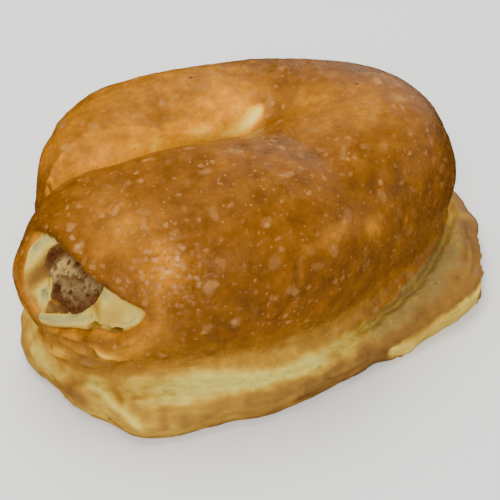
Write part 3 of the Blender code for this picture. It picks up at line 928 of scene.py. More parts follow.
# %% Shades of the body and the foot
# x, y, z, three radii, bake, strength, turn
BODY_SHADES = (
    (24.0, -2.0, 44.3, 12.0, 9.0, 6.0, 0.54, 0.85, 0.0),        # top of the bend
    (40.0, -12.0, 30.0, 6.0, 6.0, 9.0, 0.70, 0.7, 0.0),         # right flank of the bend
    (15.0, 6.5, 42.5, 8.0, 4.5, 4.0, 0.52, 0.8, 40.0),
    (8.5, -32.2, 35.6, 7.4, 2.4, 2.0, 0.50, 0.9, 26.0),         # pale patch on the front: a painted reflection of the front light
    (18.4, -27.6, 32.0, 4.6, 2.6, 2.8, 0.48, 0.95, 30.0),
    (28.1, -22.8, 28.2, 1.0, 1.0, 1.8, 0.50, 0.85, 30.0),
    (-36.6, -15.4, 41.9, 7.0, 5.0, 5.0, 0.62, 0.8, 0.0),        # front arm's top, toward its end
    (-34.0, -25.5, 40.8, 7.0, 5.0, 5.0, 0.46, 0.85, 20.0),
    (-44.4, -11.5, 39.2, 5.0, 4.5, 4.0, 0.80, 0.7, 0.0),
    (-27.6, -34.2, 36.5, 4.8, 5.0, 6.6, 0.38, 0.95, 0.0),       # blistered dome, paler: partly its blisters, partly a painted highlight
    (-16.0, -39.0, 27.0, 7.0, 5.0, 10.0, 0.84, 0.8, 0.0),       # browner behind it
    (-1.6, 12.6, 41.0, 7.0, 5.5, 4.5, 0.27, 0.9, 0.0),          # orange wall of the back arm
    (-17.5, 12.5, 41.4, 4.2, 3.6, 3.0, 0.68, 0.6, 0.0),
    (-35.0, 8.0, 41.5, 9.0, 5.0, 5.0, 0.60, 0.5, 0.0),
    (2.8, 8.2, 38.7, 2.8, 1.8, 2.4, 0.00, 0.8, 40.0),           # cream wall in the crook
    (-50.0, -12.0, 36.0, 3.5, 4.0, 2.6, 0.86, 0.8, 0.0),        # dark spot above the mouth's left end
    (40.0, -24.0, 7.5, 6.0, 3.4, 3.0, 0.62, 0.7, 40.0),         # browner end of the foot
    (31.0, -33.0, 6.0, 8.0, 1.6, 2.4, 0.68, 0.7, 28.0),
    (-35.0, -44.5, 4.0, 5.0, 3.0, 3.0, 0.36, 0.7, 0.0),         # pale corner of the foot
)
# bake of the pale band and of the foot, by direction; at the right the band is darker, partly painted
# shade of the groove
PALE_BAKE = ((0, 0.30), (180, 0.26), (205, 0.34), (222, 0.26), (234, -0.10), (256, -0.14), (268, 0.04),
             (278, 0.28), (290, 0.44), (310, 0.54), (330, 0.52), (345, 0.40), (360, 0.30))
FOOT_BAKE = ((0, 0.64), (180, 0.54), (210, 0.46), (228, 0.42), (248, 0.62), (270, 0.72), (285, 0.74),
             (320, 0.70), (360, 0.64))
# width, bake, strength, then the path in x, y and z
BODY_STRIPS = (
    # the crack is painted dark along its groove: partly painted shade
    (0.45, 0.92, 0.6, CRACK),
    (2.2, 0.20, 0.8, ((-36.0, 1.6, 38.6), (-32.2, 2.4, 38.7), (-24.6, 3.2, 38.6), (-16.7, 6.0, 37.0),
                      (-9.1, 7.2, 37.6), (-1.9, 8.0, 38.2))),   # lighter lower edge of the back arm: a painted glossy streak, and painted light against the crease's shade
    # the cream strip in the crook
    (1.5, 0.00, 1.0, ((4.6, 11.6, 40.8), (4.5, 9.9, 39.9), (3.2, 8.6, 39.1), (1.2, 7.7, 38.2),
                      (-1.0, 7.2, 37.1), (-3.6, 6.8, 36.2), (-7.4, 6.4, 35.8))),
    (0.9, 0.60, 0.9, ((7.0, 11.8, 41.0), (6.2, 9.6, 40.2), (4.8, 7.4, 38.8), (2.8, 6.0, 37.6),
                      (0.4, 5.2, 36.8))),                       # and the bend's edge beside it
    (1.9, 0.72, 0.95, ((-53.1, -25.7, 4.8), (-51.2, -28.4, 5.4), (-49.0, -31.4, 5.6), (-47.0, -34.2, 5.2),
                      (-45.6, -36.2, 4.8))),                    # orange strip of the left foot
    (1.1, 0.08, 0.95, (*CORNER_RIDGE, (-35.7, -44.9, 1.7))),    # pale ridge beside it
    # the corner's crease, painted darker along its groove: partly painted shade
    (0.7, 0.62, 0.9, CORNER_CREASE),
    (1.8, 0.12, 0.8, ((-54.8, -16.3, 7.2), (-54.1, -20.0, 7.4), (-52.5, -23.9, 7.3), (-50.1, -28.0, 7.6),
                      (-48.4, -30.4, 7.9))),                    # pale left end
    (0.9, 0.74, 0.8, ((-31.5, -45.0, 7.0), (-31.9, -47.0, 2.5))),
    (1.3, 0.70, 0.8, ((-26.6, -45.6, 7.0), (-27.5, -47.4, 2.5))),
    (0.8, 0.72, 0.8, ((-20.6, -46.0, 7.0), (-21.3, -47.6, 2.5))),
    (0.9, 0.70, 0.6, ((-38.0, -40.0, 7.6), (-36.0, -42.6, 7.2), (-33.0, -44.6, 7.0))),
    # the grooves of the pastry layers, painted darker: partly painted shade
    (0.45, 0.78, 0.8, OUTER_LAYER),
    (0.45, 0.74, 0.8, INNER_LAYER),
    (0.6, 0.85, 0.8, ((42.0, -23.9, 8.1), (42.3, -23.3, 8.2))),
    (0.5, 0.80, 0.8, ((42.2, -21.8, 8.3), (42.7, -20.7, 8.4))),
)
print(len(BODY_SHADES), "patches and", len(BODY_STRIPS), "strips on the body and the foot")

# %% [markdown]
# Regions come first, then the marks on top of them. Each step moves the bake of some points
# toward a goal, so a later step simply wins where it is strong. Five more numbers go on the
# points: the glaze, how far the brushed egg reached, where the dough is torn ragged, where the
# right groove gets a painted grey shade, and where the dome is wrinkled and carries a painted
# net of highlights.

# %% Browning of the crust
CROWN_BAKE, BACK_ARM_BAKE, INNER_WALL_BAKE = 0.77, 0.52, 0.30
FRONT_LOW_BAKE, RIGHT_LOW_BAKE = 0.40, 0.62      # where the crust fades toward the waist
STEP_EDGE_BAKE, LOWER_SHEET_BAKE = 0.72, 0.20
FRONT_LOW = (248.0, 34.0)                        # direction and spread of the faded front
lumps, fine = grain(points, 11.0, 31), grain(points, 3.5, 32)
fibres, threads = grain(streaks, 2.0, 33), grain(streaks, 0.7, 34)


def toward_front(middle, spread):
    """1 in one direction from the hub, falling off to both sides of it."""
    return np.exp(-((direction - middle) / spread) ** 2)


def rising(values, start, width):
    """0 up to a start, and from there easing to 1 over a width."""
    return smooth_step((values - start) / width)


def falling(values, end, width):
    """Easing from 1 to 0 over the width before an end, and 0 beyond it."""
    return smooth_step((end - values) / width)


def region_browning():
    """Bake value of every point, from the region that it lies in."""
    x, y, z = points.T
    bake = CROWN_BAKE + 0.06 * lumps + 0.05 * fine
    back_arm = rising(y, 2.0, 6.0) * falling(x, 14.0, 14.0)
    bake = toward(bake, BACK_ARM_BAKE + 0.05 * fine, 0.85 * back_arm * rising(z, 26.0, 10.0))
    inner_wall = rising(-normals[:, 1], 0.3, 0.4) * rising(y, -1.0, 4.0)
    bake = toward(bake, INNER_WALL_BAKE, 0.9 * inner_wall * (z > 26.0) * (x < 12.0))
    fade = smooth_step((18.0 - z + 0.9 * uneven) / 7.0)
    bake = toward(bake, FRONT_LOW_BAKE + 0.05 * lumps, 0.95 * fade * toward_front(*FRONT_LOW))
    bake = toward(bake, RIGHT_LOW_BAKE, 0.7 * fade * rising(direction, 275.0, 20.0))
    pale_bake = by_direction(PALE_BAKE, direction) + 0.16 * threads
    bake = toward(bake, pale_bake + 0.12 * fine + 0.14 * fibres, pale)
    foot_bake = by_direction(FOOT_BAKE, direction) + 0.08 * lumps
    bake = toward(bake, foot_bake + 0.10 * fine + 0.10 * fibres, foot)
    bake = toward(bake, STEP_EDGE_BAKE, 0.7 * np.exp(-(past_step + 1.0) ** 2))
    return toward(bake, LOWER_SHEET_BAKE + 0.06 * fine, smooth_step(past_step / 0.5))


bake = region_browning()
print("bake by region from", round(float(bake.min()), 2), "to", round(float(bake.max()), 2))

# %% Marks over the regions
LIP_BAKE, HALO_BAKE = 0.34, 0.56         # inside the mouths' edge and left of the flap
UPPER_EDGE = 35.5                        # the mouths' rims are browned only below this level


def mark_browning(bake):
    """The same values, changed by the marks and round the mouths."""
    bake = shade_along(shade_ovals(bake, spots, BODY_SHADES), spots, BODY_STRIPS)
    bent = label + 0.5 * np.column_stack([lumps, fine])
    bake = shade_ovals(bake, bent, END_SHADES, on_label)
    bake = shade_along(bake, bent, END_STRIPS, on_label)
    halo = rising(in_mouth, -2.2, 2.2) * (label[:, 0] < -9.0) * (label[:, 1] < UPPER_EDGE)
    bake = toward(bake, HALO_BAKE, 0.7 * halo * on_label)
    bake = bake + 0.10 * np.exp(-((in_mouth + 0.5) / 0.6) ** 2) * (label[:, 1] > 27.0)
    bake = toward(bake, LIP_BAKE + 0.05 * fine, smooth_step(in_mouth / 1.1 + 0.3))
    return np.clip(bake - 0.06 * blisters, 0.0, 1.0)


bake = mark_browning(bake)
print("bake with the marks from", round(float(bake.min()), 2), "to", round(float(bake.max()), 2))

# %% Glaze, egg and torn dough
TAN_FRONT = (254.0, 42.0)                        # direction and spread of the front that got no egg
LIP_PATCH = ((1.0, 14.0), (15.0, 8.0))           # middle and radii on the label, with less egg
DOME_OF_WRINKLES_AND_HIGHLIGHTS = ((-27.0, -34.6, 36.0), (6.5, 6.0, 8.0))
glaze = rising(bake, 0.08, 0.22) * (1.0 - 0.6 * pale)
tan = falling(points[:, 2], 18.0, 6.0) * toward_front(*TAN_FRONT)
lip_patch = on_label * oval(label, *LIP_PATCH)
washed = (1.0 - pale) * (1.0 - 0.95 * tan) * (1.0 - 0.6 * lip_patch)
# the dome's fine wrinkles, which also carry a painted net of pale highlights
dome_wrinkles_and_highlights = oval(spots, *DOME_OF_WRINKLES_AND_HIGHLIGHTS)
ragged = band * falling(bake, 0.34, 0.12)
# painted shade: where the right groove shades the pale band, it is tinted grey
groove_shade = band * rising(direction, 272.0, 16.0) * falling(direction, 352.0, 16.0)
groove_shade = groove_shade * np.clip(0.62 + 0.5 * grain(streaks, 1.3, 36), 0.0, 0.9)
print("the egg reached", round(100 * float((washed > 0.5).mean())), "% of the points")

# %% [markdown]
# ## From points to a mesh
#
# The rings are skinned with quads, and the hub's ring and the flat base are each closed with
# a fan round one more point. The result is one closed body, with the bake and the other
# numbers stored on its points as attributes that the material can read.

# %% Make the dough
def add_piece(name, places, faces, attributes):
    """A smooth mesh from places in millimetres, with values stored on its points."""
    data = bpy.data.meshes.new(name)
    data.from_pydata((places * MM).tolist(), [], faces)
    for key, values in attributes.items():
        layer = data.attributes.new(key, "FLOAT", "POINT")
        layer.data.foreach_set("value", values.astype(np.float32))
    data.shade_smooth()
    piece = bpy.data.objects.new(name, data)
    bpy.context.scene.collection.objects.link(piece)
    triangles = sum(len(face.vertices) - 2 for face in data.polygons)
    print(name, "has", len(data.vertices), "points and", triangles, "triangles")
    return piece


def ring_piece(name, grid, attributes):
    """Skin a grid of rings into a closed mesh, with a top point and a flat base."""
    rings, sectors = grid.shape[:2]
    top, base = grid[0].mean(axis=0), grid[-1].mean(axis=0)
    i = np.arange((rings - 1) * sectors)
    start, spoke = i // sectors * sectors, i % sectors
    after = (spoke + 1) % sectors
    quads = np.stack([start + spoke, start + spoke + sectors, start + after + sectors,
                      start + after], axis=1)
    spoke = np.arange(sectors)
    after = (spoke + 1) % sectors
    last = (rings - 1) * sectors
    lid = np.stack([np.full(sectors, rings * sectors), spoke, after], axis=1)
    sole = np.stack([np.full(sectors, rings * sectors + 1), last + after, last + spoke], axis=1)
    padded = {key: np.concatenate([values, [values[:sectors].mean(), values[-sectors:].mean()]])
              for key, values in attributes.items()}
    return add_piece(name, np.vstack([grid.reshape(-1, 3), top, base]),
                     quads.tolist() + lid.tolist() + sole.tolist(), padded)


dough = ring_piece("roll_crust", shaped.reshape(loaf.shape),
                   {"bake": bake, "glaze": glaze, "washed": washed, "ragged": ragged,
                    "groove_shade": groove_shade, "dome_wrinkles_and_highlights": dome_wrinkles_and_highlights})
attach(dough, "root")
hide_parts("roll_dough")

# %% [markdown]
# ## The inner dough
#
# What the crust hid comes out in the mouth: dough that was never glazed. We press a fine
# sheet of points into each hole. Folds, swellings and small holes are drawn on the label and
# give every point a depth under the wall. At its border the sheet dives under the crust, and
# behind the filling it sinks away. A second number, the tone, runs from floury white over
# cream and golden to toasted brown.
#
# Each sheet is closed with a back, so that it is a plug of real thickness.

# %% Tools for the inner dough
SHEET_BACK = 7.2             # depth of a plug's back under the wall
SHEET_FLOOR = 1.6            # of its plain face
BEHIND_FILLING = 5.4         # and of its face behind the filling


def label_grid(spans, counts):
    """A grid of places on a label, and its flat list."""
    (run_low, run_high), (low, high) = spans
    run, level = np.meshgrid(np.linspace(run_low, run_high, counts[0]), np.linspace(low, high, counts[1]))
    return run, level, np.column_stack([run.ravel(), level.ravel()])


def rounded(flat, rows, radius):
    """Height of a round roll of dough along a path, as a share of its radius."""
    distance = near_path(flat, rows, 2.0 * radius)[0]
    return np.sqrt(np.clip(1.0 - (distance / radius) ** 2, 0.0, 1.0))


def label_grain(flat, size, seed, octaves=3):
    """The dough's noise on a label."""
    return grain(np.column_stack([flat, np.zeros(len(flat))]), size, seed, octaves)


def torn_sheet(end, flat, folds, swells, holes, tones):
    """Depth and tone of the inner dough at every place of a label."""
    broad, fine = label_grain(flat, 4.0, 51), label_grain(flat, 1.1, 52, octaves=4)
    bent = flat + 0.25 * np.column_stack([broad, fine])
    depth = raise_along(SHEET_FLOOR - 0.12 * broad - 0.07 * fine, bent, folds, -1.0)
    depth = raise_ovals(depth, bent, swells, -1.0)
    tone = shade_ovals(0.30 + 0.06 * broad + 0.05 * fine, bent, tones)
    # each hole sinks and takes the darkest tone, painted shade inside it
    for run, level, along, up, drop, turn in holes:
        shaded_hole = smooth_step(2.2 * oval(bent, (run, level), (along, up), turn) - 0.6)
        depth += drop * shaded_hole
        tone = toward(tone, 1.0, shaded_hole)
    rim = falling(inside_outline(flat, MOUTHS[end]), 1.3, 1.3) * (flat[:, 1] < UPPER_EDGE)
    return depth, toward(tone, 0.46, 0.6 * rim)


def tuck_in(end, flat, depth):
    """The same depths, diving under the crust at the border and away behind the filling."""
    behind = smooth_step(inside_outline(flat, FILLINGS[end]) / 0.9 + 0.3)
    depth = depth + (BEHIND_FILLING - depth) * behind
    return depth + 3.0 * falling(inside_outline(flat, MOUTHS[end]), 0.2, 1.2)


print("the inner dough lies", SHEET_FLOOR, "mm under the wall, and behind the filling", BEHIND_FILLING)

# %% A closed plug
def plug(name, end, run, level, depth, back_depth, attributes):
    """A closed plug at an end: a face at the given depths, a back and its sides."""
    face = end_place(end, run, level, depth.reshape(run.shape))
    back = end_place(end, run, level, np.full(run.shape, back_depth))
    i = np.arange(run.size).reshape(run.shape)
    a, b, c, d = i[:-1, :-1], i[:-1, 1:], i[1:, 1:], i[1:, :-1]
    front = np.stack([a, b, c, d], axis=-1).reshape(-1, 4)
    rear = np.stack([d, c, b, a], axis=-1).reshape(-1, 4) + run.size
    border = np.concatenate([i[0, :-1], i[:-1, -1], i[-1, :0:-1], i[:0:-1, 0]])
    after = np.roll(border, -1)
    sides = np.stack([after, border, border + run.size, after + run.size], axis=-1)
    doubled = {key: np.concatenate([values, values]) for key, values in attributes.items()}
    thing = add_piece(name, np.vstack([face.reshape(-1, 3), back.reshape(-1, 3)]),
                      np.vstack([front, rear, sides]).tolist(), doubled)
    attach(thing, "root")
    return thing


print("a plug's back lies", SHEET_BACK, "mm under its wall")

# %% [markdown]
# The front mouth has the most to show. At the left a pale flap stands up over a tan valley,
# at the right the dough bulges, and along the bottom lies a tight white roll with small
# holes under it. Each is a row or two in the tables, in the order depth, then tone.

# %% Marks of the front mouth
FRONT_SPANS, FRONT_COUNTS = ((-19.5, 17.5), (18.0, 38.6)), (250, 145)
# width, rise, then the path
FRONT_FOLDS = (
    (1.7, 1.25, ((-17.2, 35.2), (-15.8, 32.4), (-14.6, 29.2), (-13.2, 26.0), (-11.2, 22.4))),
    (1.4, 0.70, ((-17.2, 35.4), (-14.0, 36.0), (-10.5, 36.6))),
    (0.40, -1.9, ((-7.9, 27.5), (-7.2, 26.3), (-6.8, 24.9))),
    (0.34, -1.2, ((-9.4, 27.0), (-9.0, 26.0), (-8.8, 25.2))),
    (0.40, 0.75, ((-8.5, 21.2), (-7.4, 23.4), (-6.3, 25.4), (-5.4, 27.3))),
    (0.8, 0.60, ((7.3, 33.2), (7.6, 32.2), (7.6, 31.0))),
    (0.6, -0.8, ((6.0, 33.0), (5.9, 30.6), (4.6, 28.2), (2.6, 26.4))),
    (0.45, -0.9, ((3.4, 24.3), (5.5, 24.3), (7.6, 24.1), (9.6, 23.6))),
    (0.35, -0.30, ((10.4, 26.2), (12.4, 27.0), (14.6, 28.4))),
)
# run, level, radius along, radius up, rise, turn
FRONT_SWELLS = (
    (10.5, 28.3, 5.2, 2.7, 1.5, -16.0),
    (14.0, 28.2, 2.0, 1.5, 0.35, 0.0),
    (-9.8, 30.0, 2.2, 4.6, -2.2, 12.0),
    (-11.0, 32.8, 2.2, 1.7, -0.8, 0.0),
    (-3.6, 24.6, 2.6, 1.5, 0.45, 35.0),
    (-9.4, 25.0, 1.6, 2.6, 0.35, 0.0),
)
# run, level, radius along, radius up, drop, turn; each hole is also painted dark, as painted shade in it
FRONT_HOLES = (
    (5.2, 24.7, 1.15, 0.80, 3.4, -35.0),
    (9.8, 24.3, 1.35, 0.90, 3.4, 10.0),
    (7.1, 25.0, 0.80, 0.40, 2.4, 30.0),
    (8.2, 24.9, 0.60, 0.34, 2.0, -40.0),
    (4.2, 26.4, 0.50, 0.30, 1.2, 60.0),
    (-16.4, 36.3, 0.30, 0.26, 0.8, 0.0),
)
# run, level, radius along, radius up, tone, strength, turn
FRONT_TONES = (
    (-15.6, 34.4, 2.6, 2.2, 0.00, 0.9, 0.0),         # light upper part of the flap
    (-14.2, 30.6, 1.5, 3.4, 0.08, 0.8, -15.0),
    (-13.0, 36.2, 2.4, 0.9, 0.02, 0.8, 0.0),
    (-10.4, 32.2, 2.4, 3.2, 0.82, 1.0, 10.0),        # tan valley toward the filling
    (-11.4, 28.6, 2.3, 3.2, 0.70, 0.95, 0.0),
    (-8.2, 29.6, 0.9, 2.4, 0.46, 0.6, 0.0),
    (-8.9, 26.6, 1.7, 2.1, -0.10, 0.95, 0.0),        # greyish white by the slits
    (-10.6, 23.4, 1.2, 2.6, 0.66, 0.8, -15.0),       # orange foot of the flap
    (-7.6, 24.2, 0.9, 1.8, 0.30, 0.5, 0.0),
    (9.3, 29.0, 3.4, 1.7, 0.46, 0.85, -10.0),        # golden middle of the right fold
    (13.6, 27.6, 2.0, 1.6, 0.14, 0.8, 0.0),
    (10.6, 25.6, 4.2, 1.1, 0.22, 0.7, 8.0),
    (7.4, 32.2, 0.9, 1.7, 0.06, 0.85, 0.0),          # white ridge
    (5.3, 28.6, 1.0, 2.6, 0.58, 0.8, 25.0),          # browner by the filling
)
WHITE_ROLL = ((-7.4, 21.0), (-5.4, 21.9), (-3.4, 22.9), (-1.0, 24.0), (1.2, 24.7), (3.2, 25.1))
ROLL_RADIUS = 1.8
SKIN = ((-7.6, 21.6), (-6.8, 24.2), (-5.6, 27.3), (-3.6, 27.8), (-1.2, 27.3), (-0.2, 25.8), (-2.6, 25.0),
        (-4.6, 24.2), (-6.2, 22.6))
print("marks of the front mouth:", len(FRONT_FOLDS), "folds and", len(FRONT_HOLES), "holes")

# %% Inner dough of the front mouth
def front_dough():
    """The inner dough of the front mouth."""
    run, level, flat = label_grid(FRONT_SPANS, FRONT_COUNTS)
    depth, tone = torn_sheet("front", flat, FRONT_FOLDS, FRONT_SWELLS, FRONT_HOLES, FRONT_TONES)
    speckle = label_grain(flat, 0.9, 55)
    # a smooth, browner skin lies above the white roll
    skin = smooth_step(inside_outline(flat + 0.3 * speckle[:, None], SKIN) / 0.9 + 0.4)
    depth = toward(depth, 1.25 + 0.1 * (flat[:, 0] + 5.0) * (flat[:, 0] < -5.0), skin)
    tone = toward(tone, 0.60 + 0.035 * (flat[:, 0] + 7.0) + 0.10 * speckle, skin)
    # the white roll stands out of it, with painted light on its upper side and painted shade on its lower
    # side to make it look round
    roll = rounded(flat + 0.25 * speckle[:, None], WHITE_ROLL, ROLL_RADIUS)
    depth = np.minimum(depth, depth + 0.5 - 2.0 * roll) * (roll > 0) + depth * (roll <= 0)
    lit_top = smooth_step((flat[:, 1] - 0.42 * flat[:, 0] - 23.6) / 1.6)
    tone = toward(tone, 0.38 - 0.30 * lit_top, smooth_step(1.6 * roll))
    # a toasted seam closes the mouth below
    seam = np.exp(-((inside_outline(flat, MOUTHS["front"]) - 0.4) / 0.5) ** 2) * (flat[:, 1] < 25.5)
    tone = toward(tone, 0.72, 0.7 * seam * (flat[:, 0] > -6.5) * (flat[:, 0] < 11.0))
    return plug("torn_dough", "front", run, level, tuck_in("front", flat, depth), SHEET_BACK,
                {"tone": np.clip(tone, 0.0, 1.0)})


inner_dough = {"front": front_dough()}

# %% [markdown]
# The back arm's mouth is out of sight from the front, so nobody needs its every wrinkle. It
# shows the end of the rolled-up sheet: a spiral of soft dough round the filling.

# %% Inner dough of the back mouth
BACK_SPANS, BACK_COUNTS = ((-13.5, 13.5), (18.6, 37.6)), (150, 105)
BACK_FOLDS = (
    (0.55, -0.9, ((-8.6, 25.6), (-8.2, 30.0), (-4.0, 33.4), (1.4, 33.9), (6.4, 31.8), (8.6, 28.0),
                  (6.8, 24.2), (2.4, 22.6))),
    (1.3, 0.5, ((-7.0, 24.4), (-2.0, 22.8), (4.0, 22.6), (8.6, 24.8))),
    (0.9, 0.45, ((-9.9, 28.0), (-7.6, 32.2), (-2.0, 34.3), (4.0, 33.4))),
    (0.4, -0.5, ((8.8, 30.4), (10.2, 28.4), (10.0, 25.8))),
)
BACK_SWELLS = ((6.0, 24.4, 3.4, 1.6, 0.5, 20.0), (-7.0, 27.4, 1.6, 3.0, 0.35, 0.0))
BACK_HOLES = ((-6.9, 25.4, 0.5, 0.7, 1.6, 0.0), (7.6, 30.4, 0.7, 0.4, 1.8, -30.0))
BACK_TONES = (
    (-8.0, 30.0, 2.4, 2.6, 0.16, 0.7, 0.0),
    (6.6, 24.4, 3.4, 1.8, 0.18, 0.7, 0.0),
    (0.0, 22.0, 6.0, 1.2, 0.52, 0.8, 0.0),
    (3.0, 34.2, 5.0, 1.0, 0.50, 0.7, -10.0),
    (8.0, 28.6, 1.6, 2.4, 0.46, 0.7, 0.0),
)


def back_dough():
    """The inner dough of the back mouth."""
    run, level, flat = label_grid(BACK_SPANS, BACK_COUNTS)
    depth, tone = torn_sheet("back", flat, BACK_FOLDS, BACK_SWELLS, BACK_HOLES, BACK_TONES)
    return plug("torn_dough_back", "back", run, level, tuck_in("back", flat, depth), SHEET_BACK,
                {"tone": np.clip(tone, 0.0, 1.0)})


inner_dough["back"] = back_dough()
for piece in inner_dough.values():
    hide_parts("roll_dough")

# %% [markdown]
# ## The walnut filling
#
# The paste of ground walnuts, sugar and crumbs runs right through the roll, but only its torn
# ends show. It is crumbly: cream lumps at the top, greyish beige and full of pores in the
# middle, toasted nearly black along its lower edge, where it touched the oven's air. The
# same kind of sheet does the work: lumps and pores for the shape, and a shade from 0,
# toasted, to 1, pale.

# %% Lumps of the filling
# run, level, two radii, rise of the lump, shade, turn
FRONT_LUMPS = (
    (-9.3, 34.5, 2.2, 1.4, 0.1, 0.06, 0.0),          # dark walnut at the upper left
    (-7.1, 35.2, 1.3, 0.8, 0.3, 0.10, 0.0),
    (-8.8, 32.6, 1.5, 0.6, -0.1, 0.24, 0.0),
    (-5.4, 34.6, 1.5, 1.1, 0.6, 0.98, 0.0),          # cream lumps
    (-3.2, 34.2, 1.2, 1.0, 0.6, 0.94, 0.0),
    (-6.4, 32.8, 1.3, 0.8, 0.5, 0.95, 10.0),
    (-4.3, 32.6, 0.7, 0.5, 0.1, 0.36, 0.0),
    (-6.7, 33.5, 0.5, 0.4, 0.0, 0.36, 0.0),
    (-1.0, 34.4, 1.3, 0.8, 0.4, 0.88, 0.0),
    (0.9, 34.7, 1.6, 0.6, 0.2, 0.40, -10.0),         # brown under the lip
    (-5.2, 31.5, 1.5, 0.9, 0.8, 0.96, 0.0),          # pale crumb
    (0.6, 33.1, 1.7, 0.35, -0.7, 0.12, 0.0),         # gap, sunk and painted dark as painted shade
    (3.4, 32.6, 2.0, 1.1, 0.9, 0.70, -15.0),         # greyish beige middle
    (0.4, 31.4, 2.4, 1.2, 0.8, 0.58, 0.0),
    (-2.2, 30.4, 1.5, 1.4, 0.6, 0.62, 0.0),
    (2.2, 30.2, 1.8, 0.9, 0.6, 0.50, 0.0),
    (-4.7, 29.6, 0.9, 1.9, 0.2, 0.05, 0.0),          # dark patch at the left
    (-4.1, 28.2, 0.7, 0.9, 0.2, 0.28, 0.0),
    (-2.6, 27.9, 1.6, 0.6, 0.3, 0.16, 0.0),          # toasted lower edge
    (-0.5, 26.6, 1.0, 0.8, 0.3, 0.16, 0.0),
    (1.3, 27.3, 1.0, 0.8, 0.4, 0.18, 0.0),
    (2.8, 28.6, 0.9, 0.7, 0.3, 0.30, 0.0),
    (4.4, 29.8, 0.7, 1.0, 0.2, 0.14, 0.0),
    (5.2, 31.2, 0.5, 0.7, 0.1, 0.12, 0.0),
    (-1.8, 35.3, 0.6, 0.4, -0.8, 0.06, 0.0),         # pores, sunk and painted dark as painted shade
    (-3.9, 35.1, 0.4, 0.3, -0.6, 0.10, 0.0),
    (-1.0, 30.3, 0.6, 0.4, -0.7, 0.16, 30.0),
    (3.2, 30.9, 0.4, 0.3, -0.5, 0.16, 0.0),
)
BACK_LUMPS = (
    (-3.2, 30.6, 1.8, 1.2, 0.5, 0.70, 0.0), (0.6, 29.6, 2.2, 1.4, 0.7, 0.72, 0.0),
    (3.8, 28.6, 1.6, 1.4, 0.4, 0.62, 0.0), (-1.6, 27.2, 2.0, 1.0, 0.5, 0.56, 0.0),
    (2.2, 25.8, 2.4, 0.7, 0.3, 0.08, 0.0), (-4.6, 28.6, 0.8, 1.6, 0.2, 0.08, 0.0),
    (0.2, 31.8, 2.0, 0.6, 0.1, 0.14, 0.0), (4.6, 30.6, 0.9, 0.8, 0.1, 0.16, 0.0),
)
print(len(FRONT_LUMPS), "lumps and pores at the front and", len(BACK_LUMPS), "at the back")

# %% The torn ends of the filling
CRUMB_FACE = 2.1             # depth of its face under the wall
CRUMB_BACK = 9.5
CRUMB_DIVE = 4.5             # how far its border dives behind the dough
PORE_CELL, PORE_RADIUS = 0.95, 0.34      # spacing of the pores, and their radius as a share of it


def crumb_piece(name, end, spans, counts, lumps):
    """A plug of filling with a crumbly face."""
    run, level, flat = label_grid(spans, counts)
    broad, fine = label_grain(flat, 2.0, 41, octaves=4), label_grain(flat, 0.7, 42)
    depth = CRUMB_FACE - 0.35 * broad - 0.20 * fine
    shade = 0.50 + 0.22 * broad + 0.15 * fine
    bent = flat + 0.25 * np.column_stack([broad, fine])
    for r, z, along, up, rise, goal, turn in lumps:
        weight = oval(bent, (r, z), (along, up), turn)
        depth -= rise * weight
        shade = toward(shade, goal + 0.12 * fine, 1.6 * weight)
    cells = (np.column_stack([flat, np.zeros(len(flat))]) / PORE_CELL).tolist()
    pores = np.array([noise.voronoi(cell, distance_metric="DISTANCE")[0][0] for cell in cells])
    # the pores sink and are darkened, painted shade inside them
    shaded_hole = smooth_step((PORE_RADIUS - pores) / 0.2) * (broad > -0.2)
    depth += 0.5 * shaded_hole
    shade = toward(shade, 0.14, 0.6 * shaded_hole)
    beyond_it = smooth_step(-inside_outline(flat, FILLINGS[end]) / 1.0)
    return plug(name, end, run, level, depth + CRUMB_DIVE * beyond_it, CRUMB_BACK,
                {"shade": np.clip(shade, 0.0, 1.0)})


crumbs = [
    crumb_piece("walnut_crumb", "front", ((-13.2, 8.0), (24.0, 39.6)), (160, 118), FRONT_LUMPS),
    crumb_piece("walnut_crumb_back", "back", ((-7.2, 7.6), (22.6, 34.2)), (90, 72), BACK_LUMPS),
]
for piece in crumbs:
    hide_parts("walnut_filling")

# %% [markdown]
# ## Materials from nodes
#
# Baked dough has no single colour. Its shade follows how long each spot saw the heat, it is
# mottled at several sizes at once, and tiny pale blisters sit all over the glaze; the smallest
# of them stand in as painted glints. So the material starts from the bake value on the points,
# adds noise of a few sizes to it, and only then looks the colour up in a ramp. Everything that
# breaks up the surface moves along that one ramp from cream to brown, and the colours stay
# those of one dough.

# %% Helpers for node trees
def feed(tree, socket, value):
    """Link a socket to another one, or set it to a value."""
    if isinstance(value, bpy.types.NodeSocket):
        tree.links.new(value, socket)
    else:
        socket.default_value = value


def add_node(tree, kind, **sockets):
    """A node with some of its inputs set to values or linked to other sockets."""
    node = tree.nodes.new(kind)
    for key, value in sockets.items():
        feed(tree, node.inputs[key.replace("_", " ")], value)
    return node


def calculate(tree, operation, first, second):
    """The result of one operation on two values or sockets."""
    node = tree.nodes.new("ShaderNodeMath")
    node.operation = operation
    feed(tree, node.inputs[0], first)
    feed(tree, node.inputs[1], second)
    return node.outputs[0]


def add_up(tree, total, *others):
    """The sum of several values or sockets."""
    for other in others:
        total = calculate(tree, "ADD", total, other)
    return total


print("the helpers make", bpy.app.version_string, "shader nodes")

# %% Noise and spots as nodes
def mottle(tree, place, size_mm, strength, detail=4.0, roughness=0.6):
    """Noise of a given size, centred on zero and scaled."""
    texture = add_node(tree, "ShaderNodeTexNoise", Vector=place, Scale=1.0 / (size_mm * MM),
                       Detail=detail, Roughness=roughness)
    centred = calculate(tree, "SUBTRACT", texture.outputs["Fac"], 0.5)
    return calculate(tree, "MULTIPLY", centred, strength)


